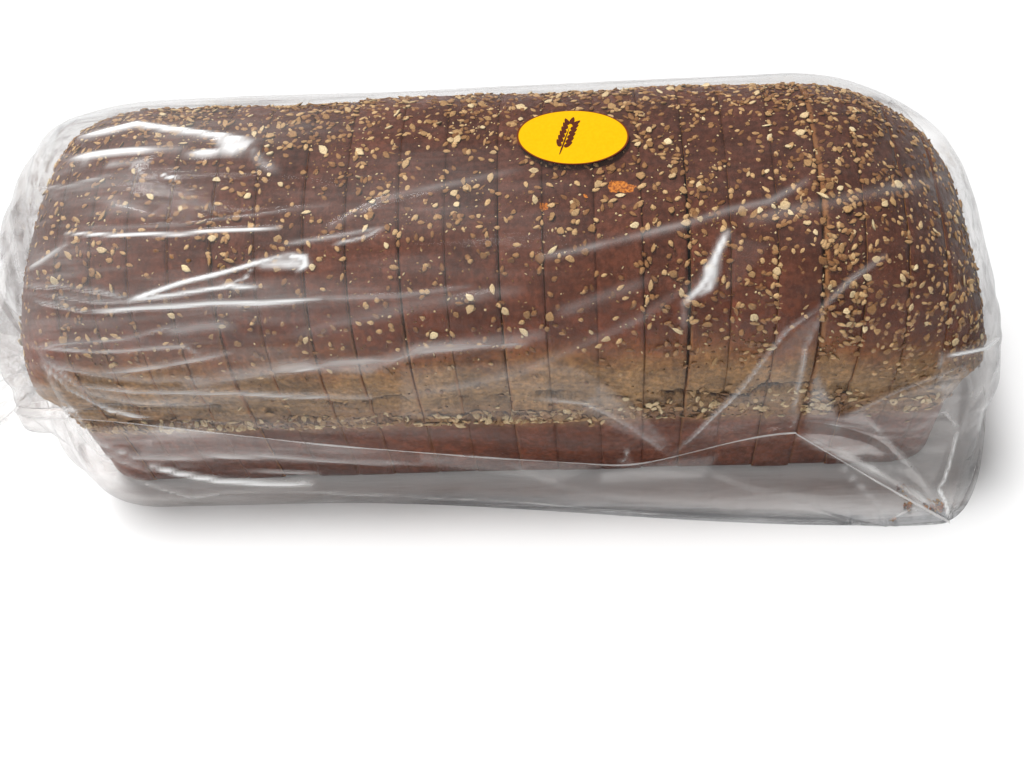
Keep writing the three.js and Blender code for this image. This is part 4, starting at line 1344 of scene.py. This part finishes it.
circle = bpy.ops.mesh.primitive_circle_add
label = started_from(circle, "label_paper", vertices=LABEL_CORNERS, radius=1, fill_type="NGON")
only_select(label, "polygons", lambda face: True)
for _ in range(LABEL_RINGS):
    bpy.ops.mesh.inset(thickness=LABEL_INSET)
bpy.ops.mesh.poke()
bpy.ops.object.mode_set(mode="OBJECT")
disc = points_of(label)[:, :2]
label_points = laid_on_crown(disc * LABEL_HALVES, LABEL_GAP)
label_points[:, 2] += 0.06 * grain(label_points, 7, 61)
move_points(label, label_points)
attribute_of(label, "radius", np.linalg.norm(disc, axis=1))
thicken(label, LABEL_THICKNESS, 1.0)
label.data.polygons.foreach_set("use_smooth", [True] * len(label.data.polygons))
bpy.ops.object.shade_smooth_by_angle(angle=math.radians(40))


def label_paint():
    paint = Paint("yellow_label")
    fibre = paint.noise(1.2, 3).step(0.3, 0.7, 0.0, 1.0)
    yellow = paint.mix(fibre, (0.90, 0.47, 0.002, 1), (0.93, 0.50, 0.003, 1))
    border = paint.attribute("radius")
    border = border.step(BORDER_SHARE - BORDER_SOFTNESS, BORDER_SHARE + BORDER_SOFTNESS)
    shader = paint.principled(
        Base_Color=paint.mix(border, yellow, (0.16, 0.035, 0.012, 1)),
        Roughness=0.38,
        Specular_IOR_Level=0.2,
        Normal=paint.bump(fibre, 0.03),
    )
    return paint.finish(shader)


label.data.materials.append(label_paint())
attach(label, "root")
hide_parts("label")


# The print: a plain ear of grain, a stem with a grain at its tip and six pairs beside it, in
# dark brown ink. It stands a hair above the paper, so that it is seen.
PRINT_TURN, PRINT_HALF, PRINT_ASIDE, PRINT_LEAN = math.radians(80), 9.4, -2.2, math.radians(34)
PRINT_GAP, PRINT_THICKNESS, PRINT_CORNERS = 0.09, 0.06, 20
PAIRS, PAIR_START, PAIR_PITCH, PAIR_ASIDE = 6, -4.0, 2.15, 1.75


def print_leaf(along, aside, half_length, half_width, turn):
    """One oval of the printed ear of grain, in the label's own directions."""
    leaf = started_from(circle, "leaf", vertices=PRINT_CORNERS, radius=1, fill_type="NGON")
    oval = points_of(leaf)[:, :2]
    oval[:, 1] *= 1 - 0.35 * oval[:, 0]
    leaning = turned(oval * [half_length, half_width], turn) + [along, aside]
    flat = turned(leaning, PRINT_TURN) + [PRINT_ASIDE, 0]
    move_points(leaf, laid_on_crown(flat, LABEL_GAP + LABEL_THICKNESS + PRINT_GAP))
    return leaf


leaves = [
    print_leaf(-0.30 * PRINT_HALF, 0, PRINT_HALF * 0.70, 0.28, 0),
    print_leaf(PRINT_HALF * 0.82, 0, 1.9, 0.85, 0),
]
for pair, side in itertools.product(range(PAIRS), (-1, 1)):
    along = PAIR_START + pair * PAIR_PITCH
    leaves.append(print_leaf(along, side * PAIR_ASIDE, 1.85, 0.80, side * PRINT_LEAN))
bpy.ops.object.select_all(action="DESELECT")
for leaf in leaves:
    leaf.select_set(True)
bpy.context.view_layer.objects.active = leaves[0]
bpy.ops.object.join()
label_print = bpy.context.object
label_print.name = "label_print"
thicken(label_print, PRINT_THICKNESS)
ink = Paint("brown_ink")
ink_tone = ink.ramp(ink.noise(0.8, 2), [(0.3, (0.085, 0.016, 0.006)), (0.7, (0.12, 0.026, 0.010))])
label_print.data.materials.append(ink.finish(ink.principled(Base_Color=ink_tone, Roughness=0.4)))
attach(label_print, "root")
